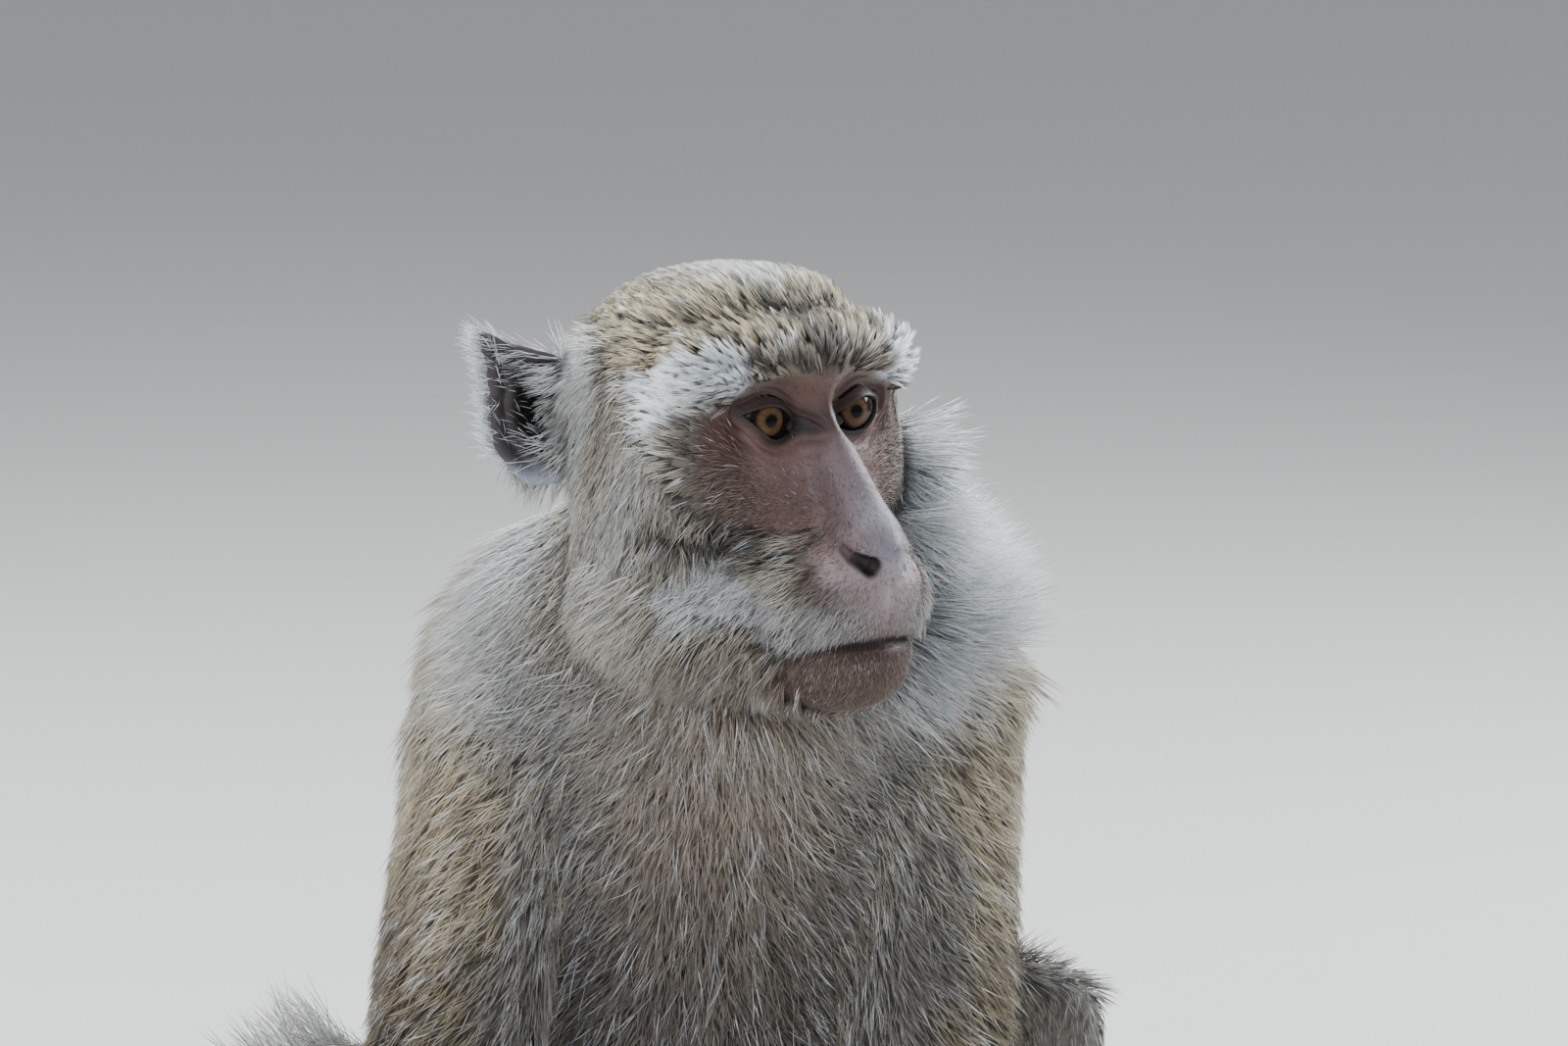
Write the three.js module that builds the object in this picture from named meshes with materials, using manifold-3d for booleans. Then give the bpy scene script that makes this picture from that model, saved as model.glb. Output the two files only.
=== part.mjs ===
// A long-tailed macaque sitting on the floor, life size, as a still museum model.
// The figure's own frame: +X to its left, -Y the way its chest faces, +Z up, millimetres.
// The origin is on the floor, in the middle of the flat that it sits on.
// Every size runs out to the tips of the coat.

import * as THREE from "three";
import { mergeVertices } from "three/addons/utils/BufferGeometryUtils.js";
import Module from "manifold-3d";

const wasm = await Module();
wasm.setup();

// ---------------------------------------------------------------- driving dimensions

const GAP = 0.3; // clearance between neighbouring pieces
const BODY_YAW = THREE.MathUtils.degToRad(10); // the figure sits turned this far to its left
const HEAD_YAW = THREE.MathUtils.degToRad(32); // and its head is turned this much further
const HEAD_AT = new THREE.Vector3(-11, -69, 328); // midpoint between the ear openings

const EYE = { radius: 9.3, forward: 51.5, out: 15.5, up: 9 };
const EAR = { height: 41, width: 27, thick: 2.6, dish: 6, point: 0.22, turn: 46 };
const EAR_SET = { forward: 6, out: 31, up: 5 };

// Stations of a tube: x, y, z, half width, half depth.
const TRUNK = [
  [0, 0, 6, 52, 46],
  [0, 1, 34, 74, 60],
  [0, 3, 78, 79, 68],
  [0, 0, 122, 77, 68],
  [1, -11, 164, 76, 66],
  [3, -27, 202, 78, 64],
  [4, -42, 236, 79, 59],
  [4, -54, 264, 73, 53],
  [2, -60, 290, 56, 45],
];
const NECK = [
  [3, -40, 218, 60, 42],
  [3, -56, 250, 80, 51],
  [3, -61, 275, 82, 51],
  [-2, -63, 299, 68, 45],
  [-7, -65, 320, 50, 39],
  [-9, -66, 338, 36, 32],
];
const TAIL = [
  [0, 44, 34, 15, 15],
  [-4, 76, 17, 14, 14],
  [-22, 112, 11, 12.6, 12.6],
  [-66, 142, 10, 12, 11.8],
  [-118, 146, 10, 11.6, 11.4],
  [-164, 118, 9.4, 11, 10.8],
  [-188, 66, 8.8, 10.4, 10.2],
  [-194, 6, 8, 9.6, 9.4],
  [-184, -54, 6.6, 8, 7.8],
];
const TAIL_LENGTHS = 5;

// Planes that part the body: a point and the way it faces.
const HEAD_CUT = { at: [-6, -68, 288], way: [0.15, -0.52, 0.84] };
const NECK_CUT = { at: [2, -58, 268], way: [0, -0.3, 0.95] };
const WAIST_CUT = { at: [0, -4, 138], way: [0, -0.2, 0.98] };

// Joints as they would be on the left: side 1 is the left and side -1 the right.
const ARMS = {
  left: {
    side: 1,
    shoulder: [61, -63, 252],
    elbow: [59, -78, 138],
    wrist: [37, -141, 34],
    knuckles: [35, -174, 13],
  },
  right: {
    side: -1,
    shoulder: [52, -63, 248],
    elbow: [73, -72, 138],
    wrist: [40, -138, 34],
    knuckles: [37, -171, 13],
  },
};
const LEGS = {
  left: {
    side: 1,
    hip: [38, -4, 60],
    knee: [92, -60, 160],
    ankle: [83, -100, 33],
    ball: [97, -172, 13],
  },
  right: {
    side: -1,
    hip: [38, -4, 58],
    knee: [104, -74, 143],
    ankle: [86, -138, 33],
    ball: [98, -210, 13],
  },
};
// Half widths and half depths along the upper and the lower length of a limb.
const ARM_SIZES = {
  upper: [[0, 28, 33], [0.35, 26, 32], [0.75, 25, 30], [1, 22, 25]],
  lower: [[0, 22, 25], [0.3, 20, 22], [0.75, 15, 16], [1, 13, 12.5]],
};
const LEG_SIZES = {
  upper: [[0, 40, 48], [0.35, 37, 44], [0.75, 28, 33], [1, 21, 23]],
  lower: [[0, 21, 23], [0.3, 21, 25], [0.75, 15.5, 18], [1, 14, 15]],
};
const FINGERS = { count: 4, spread: 9.6, length: 40, radius: 5, splay: 0.1, lift: 4 };
const TOES = { count: 4, spread: 10, length: 38, radius: 5.8, splay: 0.09, lift: 4 };
const THUMB = { root: 0.5, out: 13, away: 12, length: 20, radii: [7, 4.6] };
const BIG_TOE = { root: 0.42, out: 11, away: 17, length: 32, radii: [9.5, 6] };

// ---------------------------------------------------------------- solids

// A manifold-3d solid from a closed geometry.
function solidOf(geometry) {
  const bare = new THREE.BufferGeometry().copy(geometry);
  bare.deleteAttribute("normal");
  bare.deleteAttribute("uv");
  const merged = mergeVertices(bare, 1e-4);
  return new wasm.Manifold(
    new wasm.Mesh({
      numProp: 3,
      vertProperties: new Float32Array(merged.attributes.position.array),
      triVerts: new Uint32Array(merged.index.array),
    }),
  );
}

function geometryOf(solid) {
  const mesh = solid.getMesh();
  const places = new Float32Array(mesh.numVert * 3);
  for (let i = 0; i < mesh.numVert; i++) {
    places.set(mesh.vertProperties.subarray(i * mesh.numProp, i * mesh.numProp + 3), i * 3);
  }
  const geometry = new THREE.BufferGeometry();
  geometry.setAttribute("position", new THREE.BufferAttribute(places, 3));
  geometry.setIndex(new THREE.BufferAttribute(new Uint32Array(mesh.triVerts), 1));
  geometry.computeVertexNormals();
  return geometry;
}

const joined = (solids) => solids.reduce((a, b) => a.add(b));
const less = (solid, others) => others.reduce((a, b) => a.subtract(b), solid);

// The largest connected body of a solid, which drops the chips that a cut leaves.
function largest(solid) {
  return solid.decompose().reduce((a, b) => (b.volume() > a.volume() ? b : a));
}

// A block that fills the side of a plane which its way points to.
function block(at, way) {
  const REACH = 900;
  const up = new THREE.Vector3(0, 0, 1);
  const turn = new THREE.Quaternion().setFromUnitVectors(up, way.clone().normalize());
  const box = new THREE.BoxGeometry(REACH, REACH, REACH).translate(0, 0, REACH / 2);
  return solidOf(box.applyQuaternion(turn).translate(at.x, at.y, at.z));
}

// Cuts a solid in two at a plane, leaving GAP between: [the side behind, the side in front].
function parted(solid, { at, way }) {
  const [point, normal] = [new THREE.Vector3(...at), new THREE.Vector3(...way).normalize()];
  const half = normal.clone().multiplyScalar(GAP / 2);
  const behind = block(point.clone().sub(half), normal.clone().negate());
  const front = block(point.clone().add(half), normal);
  return [largest(solid.intersect(behind)), largest(solid.intersect(front))];
}

const UNDER_FLOOR = block(new THREE.Vector3(), new THREE.Vector3(0, 0, -1));
const onFloor = (solid) => largest(solid.subtract(UNDER_FLOOR));

// ---------------------------------------------------------------- tubes

// A closed tube through stations, its width along `side`, from parameter `from` to `to`.
// `caps` says how far each end bulges, as a share of its smaller half size: 0 is flat.
// `grow` swells it evenly, and `back` draws both ends in.
class StationTube extends THREE.BufferGeometry {
  constructor(stations, options = {}) {
    super();
    const { side = [1, 0, 0], sides = 14, rings = 6, caps = [0.8, 0.8], capRings = 2 } = options;
    const { grow = 0, from = 0, to = 1, back = 0 } = options;
    const line = new THREE.CatmullRomCurve3(
      stations.map(([x, y, z]) => new THREE.Vector3(x, y, z)),
    );
    const sizes = new THREE.CatmullRomCurve3(
      stations.map(([, , , w, d]) => new THREE.Vector3(w + grow, d + grow, 0)),
    );
    const positions = [];
    const ring = (t, scale, shift) => {
      const tangent = line.getTangent(t);
      const across = new THREE.Vector3(...side).projectOnPlane(tangent).normalize();
      const deep = new THREE.Vector3().crossVectors(tangent, across);
      const centre = line.getPoint(t).addScaledVector(tangent, shift);
      const { x: w, y: d } = sizes.getPoint(t);
      for (let i = 0; i < sides; i++) {
        const angle = (2 * Math.PI * i) / sides;
        const p = centre.clone().addScaledVector(across, scale * w * Math.cos(angle));
        positions.push(...p.addScaledVector(deep, scale * d * Math.sin(angle)).toArray());
      }
    };
    // The rings of an end's bulge, nearest the tube first, and its last point.
    const bulge = (t, cap, sign) => {
      const { x: w, y: d } = sizes.getPoint(t);
      const length = Math.min(w, d) * cap;
      const shares = Array.from({ length: cap > 0 ? capRings : 0 }, (_, i) => (i + 1) / (capRings + 1));
      const rounds = shares.map((s) => [t, Math.sqrt(1 - s * s), sign * (s * length - back)]);
      const end = line.getPoint(t).addScaledVector(line.getTangent(t), sign * (length - back));
      return { rounds, end };
    };
    const start = bulge(from, caps[0], -1);
    const finish = bulge(to, caps[1], 1);
    start.rounds.reverse().forEach((round) => ring(...round));
    for (let i = 0; i <= rings; i++) {
      const shift = i === 0 ? back : i === rings ? -back : 0;
      ring(from + ((to - from) * i) / rings, 1, shift);
    }
    finish.rounds.forEach((round) => ring(...round));
    const count = positions.length / (3 * sides);
    positions.push(...start.end.toArray(), ...finish.end.toArray());
    this.setAttribute("position", new THREE.Float32BufferAttribute(positions, 3));
    this.setIndex(StationTube.faces(count, sides));
  }

  // Triangles of a stack of rings, closed by the two points that follow them.
  static faces(count, sides) {
    const index = [];
    const last = (count - 1) * sides;
    for (let i = 0; i < sides; i++) {
      const j = (i + 1) % sides;
      for (let r = 0; r < count - 1; r++) {
        const [a, b] = [r * sides + i, r * sides + j];
        index.push(a, b, b + sides, a, b + sides, a + sides);
      }
      index.push(count * sides, j, i, count * sides + 1, last + i, last + j);
    }
    return index;
  }
}

const tube = (stations, options) => solidOf(new StationTube(stations, options));
const trunk = (grow = 0) => onFloor(tube(TRUNK, { sides: 20, rings: 9, grow }));
const neck = (grow = 0) => tube(NECK, { sides: 16, rings: 6, caps: [0.2, 0.4], capRings: 1, grow });

// The tail, divided into lengths from the root out.
function tailLengths() {
  return Array.from({ length: TAIL_LENGTHS }, (_, i) => {
    const [first, last] = [i === 0, i === TAIL_LENGTHS - 1];
    return onFloor(
      tube(TAIL, {
        side: [0.3, 0.2, 1],
        sides: 8,
        rings: 5,
        capRings: 1,
        caps: [first ? 0.5 : 0, last ? 0.9 : 0],
        from: i / TAIL_LENGTHS,
        to: (i + 1) / TAIL_LENGTHS,
        back: GAP / 2,
      }),
    );
  });
}

// ---------------------------------------------------------------- limbs

const mirrored = (side, [x, y, z]) => [side * x, y, z];
const between = (a, b, t) => a.map((v, i) => v + (b[i] - v) * t);
const alongBone = (a, b, sizes) => sizes.map(([t, w, d]) => [...between(a, b, t), w, d]);

// The plane that halves the bend of a limb at its middle joint.
function bendCut(upper, joint, lower) {
  const up = new THREE.Vector3(...upper).sub(new THREE.Vector3(...joint)).normalize();
  const down = new THREE.Vector3(...lower).sub(new THREE.Vector3(...joint)).normalize();
  return { at: joint, way: down.sub(up).toArray() };
}

// Both lengths of a limb, joined: its three joints run from the body outwards.
function limb([top, middle, end], sizes, options) {
  const upper = tube(alongBone(top, middle, sizes.upper), options);
  const lower = tube(alongBone(middle, end, sizes.lower), options);
  return upper.add(lower);
}

// Four digits in a fan from the knuckles, lying along the floor.
function digits(knuckles, heading, { count, spread, length, radius, splay, lift }) {
  const up = new THREE.Vector3(0, 0, 1);
  const across = new THREE.Vector3().crossVectors(up, heading);
  return Array.from({ length: count }, (_, i) => {
    const place = i - (count - 1) / 2;
    const way = heading.clone().applyAxisAngle(up, place * splay);
    const reach = length * (1 - 0.06 * place * place);
    const root = knuckles.clone().addScaledVector(across, place * spread);
    root.setZ(radius + lift);
    const middle = root.clone().addScaledVector(way, reach * 0.5).setZ(radius + lift * 0.6);
    const tip = root.clone().addScaledVector(way, reach).setZ(radius - 1);
    return tube(
      [
        [...root.toArray(), radius + 0.8, radius],
        [...middle.toArray(), radius, radius],
        [...tip.toArray(), radius - 0.8, radius - 0.8],
      ],
      { side: across.toArray(), sides: 6, rings: 1, capRings: 1 },
    );
  });
}

// The thumb or big toe, which stands away from the other digits on the inner side.
function firstDigit(a, b, side, heading, { root, out, away, length, radii }) {
  const from = new THREE.Vector3(...between(a, b, root)).setZ(12);
  from.x -= side * out;
  const to = from.clone().addScaledVector(heading, length).setZ(radii[1] - 0.6);
  to.x -= side * away;
  const across = [-heading.y, heading.x, 0];
  const stations = [
    [...from.toArray(), radii[0], radii[0]],
    [...to.toArray(), radii[1], radii[1]],
  ];
  return tube(stations, { side: across, sides: 7, rings: 1, capRings: 1 });
}

const headingOf = (a, b) => new THREE.Vector3(b[0] - a[0], b[1] - a[1], 0).normalize();

function armWhole({ side, shoulder, elbow, wrist, knuckles }, grow = 0) {
  const [s, e, w, k] = [shoulder, elbow, wrist, knuckles].map((p) => mirrored(side, p));
  const length = limb([s, e, w], ARM_SIZES, { sides: 9, rings: 3, grow });
  if (grow > 0) {
    return length;
  }
  const heading = headingOf(w, k);
  const palm = tube(
    [
      [...between(w, k, -0.3), 12, 11.5],
      [...w, 13, 12],
      [...between(w, k, 0.5), 17, 12.5],
      [...k, 19, 11],
    ],
    { side: [-heading.y, heading.x, 0], sides: 8, rings: 3, capRings: 1 },
  );
  const thumb = firstDigit(w, k, side, heading, THUMB);
  const fingers = digits(new THREE.Vector3(...k), heading, FINGERS);
  return onFloor(joined([length, palm, thumb, ...fingers]));
}

function legWhole({ side, hip, knee, ankle, ball }, grow = 0) {
  const [h, k, a, b] = [hip, knee, ankle, ball].map((p) => mirrored(side, p));
  const length = limb([h, k, a], LEG_SIZES, { side: [0.3, 1, 0], sides: 9, rings: 3, grow });
  if (grow > 0) {
    return length;
  }
  const heading = headingOf(a, b);
  const heel = new THREE.Vector3(...a).addScaledVector(heading, -15).setZ(13);
  const sole = tube(
    [
      [...heel.toArray(), 12.5, 13.5],
      [a[0], a[1], 16, 14, 16],
      [...between(a, b, 0.5).slice(0, 2), 14.5, 16.5, 15],
      [...b, 19.5, 13.5],
    ],
    { side: [-heading.y, heading.x, 0], sides: 8, rings: 4, capRings: 1 },
  );
  const bigToe = firstDigit(a, b, side, heading, BIG_TOE);
  const toes = digits(new THREE.Vector3(...b), heading, TOES);
  return onFloor(joined([length, sole, bigToe, ...toes]));
}

// ---------------------------------------------------------------- head

// The head's own frame: x forward out of the face, y to its left, z up, from between the ears.
function smoothMin(a, b, k) {
  const h = Math.max(k - Math.abs(a - b), 0) / k;
  return Math.min(a, b) - (h * h * k) / 4;
}
const smoothMax = (a, b, k) => -smoothMin(-a, -b, k);

// About the distance from p to an ellipsoid's surface; a power over 2 makes it boxier.
function blob(p, [cx, cy, cz], [rx, ry, rz], power = 2) {
  const terms = [(p.x - cx) / rx, (p.y - cy) / ry, (p.z - cz) / rz].map(Math.abs);
  const size = terms.reduce((sum, t) => sum + t ** power, 0) ** (1 / power);
  const slope = Math.hypot(terms[0] / rx, terms[1] / ry, terms[2] / rz) / Math.max(size, 1e-6);
  return (size - 1) / Math.max(slope, 1 / Math.max(rx, ry, rz));
}

// The distance from p to a bar from a to b whose radius goes from ra to rb.
function bar(p, a, b, ra, rb) {
  const [from, to] = [new THREE.Vector3(...a), new THREE.Vector3(...b)];
  const line = to.sub(from);
  const t = THREE.MathUtils.clamp(p.clone().sub(from).dot(line) / line.lengthSq(), 0, 1);
  return p.distanceTo(from.addScaledVector(line, t)) - (ra + (rb - ra) * t);
}

// The head out to the tips of its coat. Its sides are alike, so y is taken as positive.
function headField(point) {
  const p = new THREE.Vector3(point.x, Math.abs(point.y), point.z);
  const furry = [
    [blob(p, [21, 0, 6], [45, 40, 38], 2.5), 1], // crown and nape
    [blob(p, [26, 28, -20], [30, 32, 38]), 14], // cheek fur in front of the ear
    [blob(p, [41, 41, -14], [16, 27, 38]), 14], // whiskers that flare beside the face
    [blob(p, [26, 12, -46], [38, 40, 26]), 16], // jowl and throat
    [bar(p, [58, 0, 21], [50, 30, 18], 10, 9.5), 8], // brow ridge
  ];
  const bare = [
    [blob(p, [42, 14, -6], [21, 27, 34]), 10], // cheek bones
    [bar(p, [52, 0, -30], [74, 0, -36], 25, 19), 10], // muzzle
    [blob(p, [68, 11, -40], [23, 14, 13]), 8], // upper lip
    [bar(p, [40, 0, -50], [70, 0, -54], 20, 14), 8], // lower jaw
    [bar(p, [58, 0, 10], [84, 0, -23], 6, 8), 8], // bridge and tip of the nose
  ];
  const body = [...furry, ...bare].reduce((d, [part, blend]) => smoothMin(d, part, blend), 1e3);
  const socket = blob(p, [65, 16, 8], [9, 12, 10]);
  const mouth = bar(p, [96, 0, -49], [60, 26, -50], 1.6, 1.2);
  return smoothMax(smoothMax(body, -socket, 6), -mouth, 4);
}

// The surface of the head field, found along rays from one point inside it.
function headSolid(grow = 0) {
  const CENTRE = new THREE.Vector3(24, 0, -12);
  const FRONT_DROP = THREE.MathUtils.degToRad(18); // the rays crowd towards the muzzle
  const CROWDING = 0.8; // under 1 gives the face more rings than the back
  const FAR = 130;
  const STEPS = 70;
  const geometry = new THREE.SphereGeometry(1, 26, 24);
  const places = geometry.attributes.position;
  const turn = new THREE.Matrix4().makeRotationY(FRONT_DROP);
  for (let i = 0; i < places.count; i++) {
    const base = new THREE.Vector3().fromBufferAttribute(places, i);
    const share = Math.acos(THREE.MathUtils.clamp(base.y, -1, 1)) / Math.PI;
    const polar = Math.PI * share ** (1 / CROWDING);
    const around = Math.atan2(base.z, base.x);
    const ray = new THREE.Vector3(
      Math.cos(polar),
      Math.sin(polar) * Math.cos(around),
      -Math.sin(polar) * Math.sin(around),
    ).applyMatrix4(turn);
    let reach = FAR;
    for (let s = 0; s < STEPS; s++) {
      reach -= (headField(CENTRE.clone().addScaledVector(ray, reach)) - grow) * 0.7;
    }
    places.setXYZ(i, ...CENTRE.clone().addScaledVector(ray, reach).toArray());
  }
  return solidOf(geometry);
}

function eyeball(side, grow = 0) {
  const ball = new THREE.SphereGeometry(EYE.radius + grow, 12, 9);
  return solidOf(ball.translate(EYE.forward, side * EYE.out, EYE.up));
}

// A pinna: a thin dished plate, rounded below and pointed at the top, hinged at its front edge.
function pinna(side) {
  const TIP_LEAN = 42; // the tip points up and back
  const geometry = new THREE.SphereGeometry(1, 14, 8);
  const places = geometry.attributes.position;
  for (let i = 0; i < places.count; i++) {
    const [across, up, through] = [places.getX(i), places.getY(i), places.getZ(i)];
    const raised = EAR.point * Math.max(up, 0);
    const narrow = 1 - EAR.point * up;
    places.setXYZ(
      i,
      -TIP_LEAN * raised - (EAR.width / 2) * (1 + across * narrow),
      EAR.thick * through - EAR.dish * (1 - across * across - up * up),
      (EAR.height / 2) * (up + raised),
    );
  }
  geometry.rotateZ(-THREE.MathUtils.degToRad(EAR.turn));
  geometry.translate(EAR_SET.forward, EAR_SET.out, EAR_SET.up);
  const left = solidOf(geometry);
  return side > 0 ? left : left.mirror([0, 1, 0]);
}

// ---------------------------------------------------------------- assembly

const figure = new THREE.Group();
figure.rotation.z = BODY_YAW;
const headGroup = new THREE.Group();
headGroup.position.copy(HEAD_AT);
headGroup.rotation.z = HEAD_YAW - Math.PI / 2;
headGroup.updateMatrix();
figure.add(headGroup);

const coat = (color) => new THREE.MeshStandardMaterial({ color, roughness: 0.9, metalness: 0 });
const MATERIALS = {
  grey_coat: coat(0x938b80),
  gold_coat: coat(0x8f7d58),
  head_coat: coat(0x93876c),
  tail_coat: coat(0x6e6350),
  ear_skin: coat(0x51464a),
  hand_skin: coat(0x5c534c),
  eye: new THREE.MeshStandardMaterial({ color: 0x7a5223, roughness: 0.06, metalness: 0 }),
};

// Adds one named node to a group, from a solid in the figure's frame.
function add(group, name, material, solid) {
  const geometry = geometryOf(solid);
  if (group === headGroup) {
    geometry.applyMatrix4(headGroup.matrix.clone().invert());
  }
  const mesh = new THREE.Mesh(geometry, MATERIALS[material]);
  mesh.name = name;
  group.add(mesh);
}

const SIDES = { left: 1, right: -1 };
const inFigure = (solid) => solidOf(geometryOf(solid).applyMatrix4(headGroup.matrix));

// Head, neck and trunk are one form, parted by planes. The eyes and ears stand apart from it.
const torsoWith = (grow) => joined([trunk(grow), neck(grow), inFigure(headSolid(grow))]);
const torso = torsoWith(0);
const torsoRoom = torsoWith(GAP);
const eyeRoom = Object.values(SIDES).map((side) => inFigure(eyeball(side, GAP)));
const [underHead, headPart] = parted(torso, HEAD_CUT);
const [underNeck, neckPart] = parted(underHead, NECK_CUT);
const [hipsPart, chestPart] = parted(underNeck, WAIST_CUT);
add(headGroup, "head", "head_coat", largest(less(headPart, eyeRoom)));
add(figure, "neck", "head_coat", neckPart);
add(figure, "chest", "grey_coat", chestPart);
add(figure, "hips", "grey_coat", hipsPart);
for (const [name, side] of Object.entries(SIDES)) {
  add(headGroup, `eye_${name}`, "eye", inFigure(eyeball(side)));
  add(headGroup, `ear_${name}`, "ear_skin", largest(inFigure(pinna(side)).subtract(torsoRoom)));
}

// Each arm is cut back from the trunk, and each leg from the trunk and the arms.
const armRoom = Object.values(ARMS).map((arm) => armWhole(arm, GAP));
for (const [name, arm] of Object.entries(ARMS)) {
  const [s, e, w, k] = [arm.shoulder, arm.elbow, arm.wrist, arm.knuckles].map((p) =>
    mirrored(arm.side, p),
  );
  const whole = armWhole(arm).subtract(torsoRoom);
  const [upper, rest] = parted(whole, bendCut(s, e, w));
  const [lower, hand] = parted(rest, bendCut(e, w, k));
  add(figure, `upper_arm_${name}`, "gold_coat", upper);
  add(figure, `forearm_${name}`, "gold_coat", lower);
  add(figure, `hand_${name}`, "hand_skin", hand);
}
for (const [name, leg] of Object.entries(LEGS)) {
  const [h, k, a, b] = [leg.hip, leg.knee, leg.ankle, leg.ball].map((p) => mirrored(leg.side, p));
  const whole = less(legWhole(leg), [torsoRoom, ...armRoom]);
  const [upper, rest] = parted(whole, bendCut(h, k, a));
  const [lower, foot] = parted(rest, bendCut(k, a, b));
  add(figure, `thigh_${name}`, "grey_coat", upper);
  add(figure, `shank_${name}`, "grey_coat", lower);
  add(figure, `foot_${name}`, "hand_skin", foot);
}

tailLengths().forEach((length, i) => {
  const free = i === 0 ? largest(length.subtract(torsoRoom)) : length;
  add(figure, `tail_${i + 1}`, "tail_coat", free);
});

export default figure;
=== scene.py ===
"""A long-tailed macaque sitting on the floor, life size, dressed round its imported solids.

One skin stands for all the flesh, with eyes and nails of their own, and a coat of solid tufts grows
from it. Lengths are in millimetres until a piece becomes a mesh, which is in metres. The head has a
frame of its own: x forward out of the face, y to its left and z up, from between the ears.
"""

import sys
import logging
import math
from collections.abc import Callable, Sequence
from dataclasses import dataclass, field
from enum import Enum

import bmesh
import bpy
import numpy as np
from mathutils import Matrix, Vector
from mathutils.bvhtree import BVHTree


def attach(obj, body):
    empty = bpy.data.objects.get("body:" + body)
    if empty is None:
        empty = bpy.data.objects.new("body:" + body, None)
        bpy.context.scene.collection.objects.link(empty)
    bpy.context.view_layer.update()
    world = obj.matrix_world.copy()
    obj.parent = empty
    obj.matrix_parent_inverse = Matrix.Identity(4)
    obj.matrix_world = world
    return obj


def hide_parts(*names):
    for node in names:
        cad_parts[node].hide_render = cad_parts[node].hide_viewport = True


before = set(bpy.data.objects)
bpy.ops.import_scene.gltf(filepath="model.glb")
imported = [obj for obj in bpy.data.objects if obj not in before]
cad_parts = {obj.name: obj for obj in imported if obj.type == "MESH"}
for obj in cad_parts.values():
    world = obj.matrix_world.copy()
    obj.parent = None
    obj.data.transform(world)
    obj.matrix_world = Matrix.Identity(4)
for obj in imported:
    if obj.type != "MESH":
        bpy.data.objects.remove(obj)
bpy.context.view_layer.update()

log = logging.getLogger("macaque")

MM = 0.001
Array = np.ndarray
Triple = tuple[float, float, float]
UP = np.array([0.0, 0.0, 1.0])
SIDES = {"left": 1, "right": -1}
TINT = "tint"  # the attribute with each point's colour
BAKE = "OFBake"  # the map that skin and coat share
GAZE = "gaze"  # the map that an eye's rings read


# ---------------------------------------------------------------- numbers


def smooth_min(a: Array, b: Array, blend: float) -> Array:
    """The smaller of two distances, rounded where they meet."""
    h = np.maximum(blend - np.abs(a - b), 0) / blend
    return np.minimum(a, b) - h * h * blend / 4


def smooth_max(a: Array, b: Array, blend: float) -> Array:
    """The larger of two distances, rounded where they meet."""
    return -smooth_min(-a, -b, blend)


def ramp(x: Array, low: float, high: float) -> Array:
    """0 at low and 1 at high, with a smooth rise between; high may be the smaller."""
    t = np.clip((x - low) / (high - low), 0, 1)
    return t * t * (3 - 2 * t)


def bump(x: Array, width: float) -> Array:
    """1 where x is 0, falling off over a width."""
    return np.exp(-((x / width) ** 2))


def unit(vectors: Array) -> Array:
    """Rows made one long."""
    return vectors / np.maximum(np.linalg.norm(vectors, axis=1, keepdims=True), 1e-9)


def blob(p: Array, centre: Triple, radii: Triple, power: float = 2.0) -> Array:
    """About the distance from points to an ellipsoid; a power over 2 makes it boxier."""
    terms = np.abs((p - np.array(centre)) / np.array(radii))
    size = (terms**power).sum(1) ** (1 / power)
    slope = np.linalg.norm(terms / np.array(radii), axis=1) / np.maximum(size, 1e-6)
    return (size - 1) / np.maximum(slope, 1 / max(radii))


def bar(p: Array, a: Triple, b: Triple, ra: float = 0.0, rb: float = 0.0) -> Array:
    """The distance from points to a bar from a to b whose radius goes from ra to rb."""
    start, line = np.array(a), np.array(b) - np.array(a)
    t = np.clip(((p - start) @ line) / (line @ line), 0, 1)
    return np.linalg.norm(p - start - t[:, None] * line, axis=1) - (ra + (rb - ra) * t)


def ripple(p: Array, scale: float, seed: int, waves: int = 7) -> Array:
    """A smooth random value from about -1 to 1 at each point, with features about a scale across."""
    rng = np.random.default_rng(seed)
    ways = unit(rng.normal(size=(waves, 3))) * rng.uniform(0.6, 1.5, (waves, 1)) * math.tau / scale
    return np.sin(p @ ways.T + rng.uniform(0, math.tau, waves)).sum(1) / math.sqrt(waves)


def mixed(a: Array, b: Array | Triple, share: Array) -> Array:
    """Colours a turned towards b by each row's share."""
    return a + (np.asarray(b) - a) * share[:, None]


# ---------------------------------------------------------------- meshes


def add_object(name: str, mesh: bpy.types.Mesh) -> bpy.types.Object:
    """A new object at the origin that holds a mesh."""
    obj = bpy.data.objects.new(name, mesh)
    bpy.context.scene.collection.objects.link(obj)
    return obj


def from_bmesh(name: str, bm: bmesh.types.BMesh) -> bpy.types.Object:
    """Turns a finished bmesh into an object and frees it."""
    mesh = bpy.data.meshes.new(name)
    bm.to_mesh(mesh)
    bm.free()
    return add_object(name, mesh)


def applied(obj: bpy.types.Object, kind: str, **settings: object) -> bpy.types.Object:
    """Gives an object a modifier and makes its result the object's own mesh.

    Args:
        obj: The object, whose mesh is replaced.
        kind: The modifier's type.
        settings: The modifier's own settings.

    Returns:
        The same object.
    """
    modifier = obj.modifiers.new(kind.title(), kind)
    for name, value in settings.items():
        setattr(modifier, name, value)
    graph = bpy.context.evaluated_depsgraph_get()
    before, mesh = obj.data, bpy.data.meshes.new_from_object(obj.evaluated_get(graph))
    obj.modifiers.clear()
    obj.data = mesh
    bpy.data.meshes.remove(before)
    return obj


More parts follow.
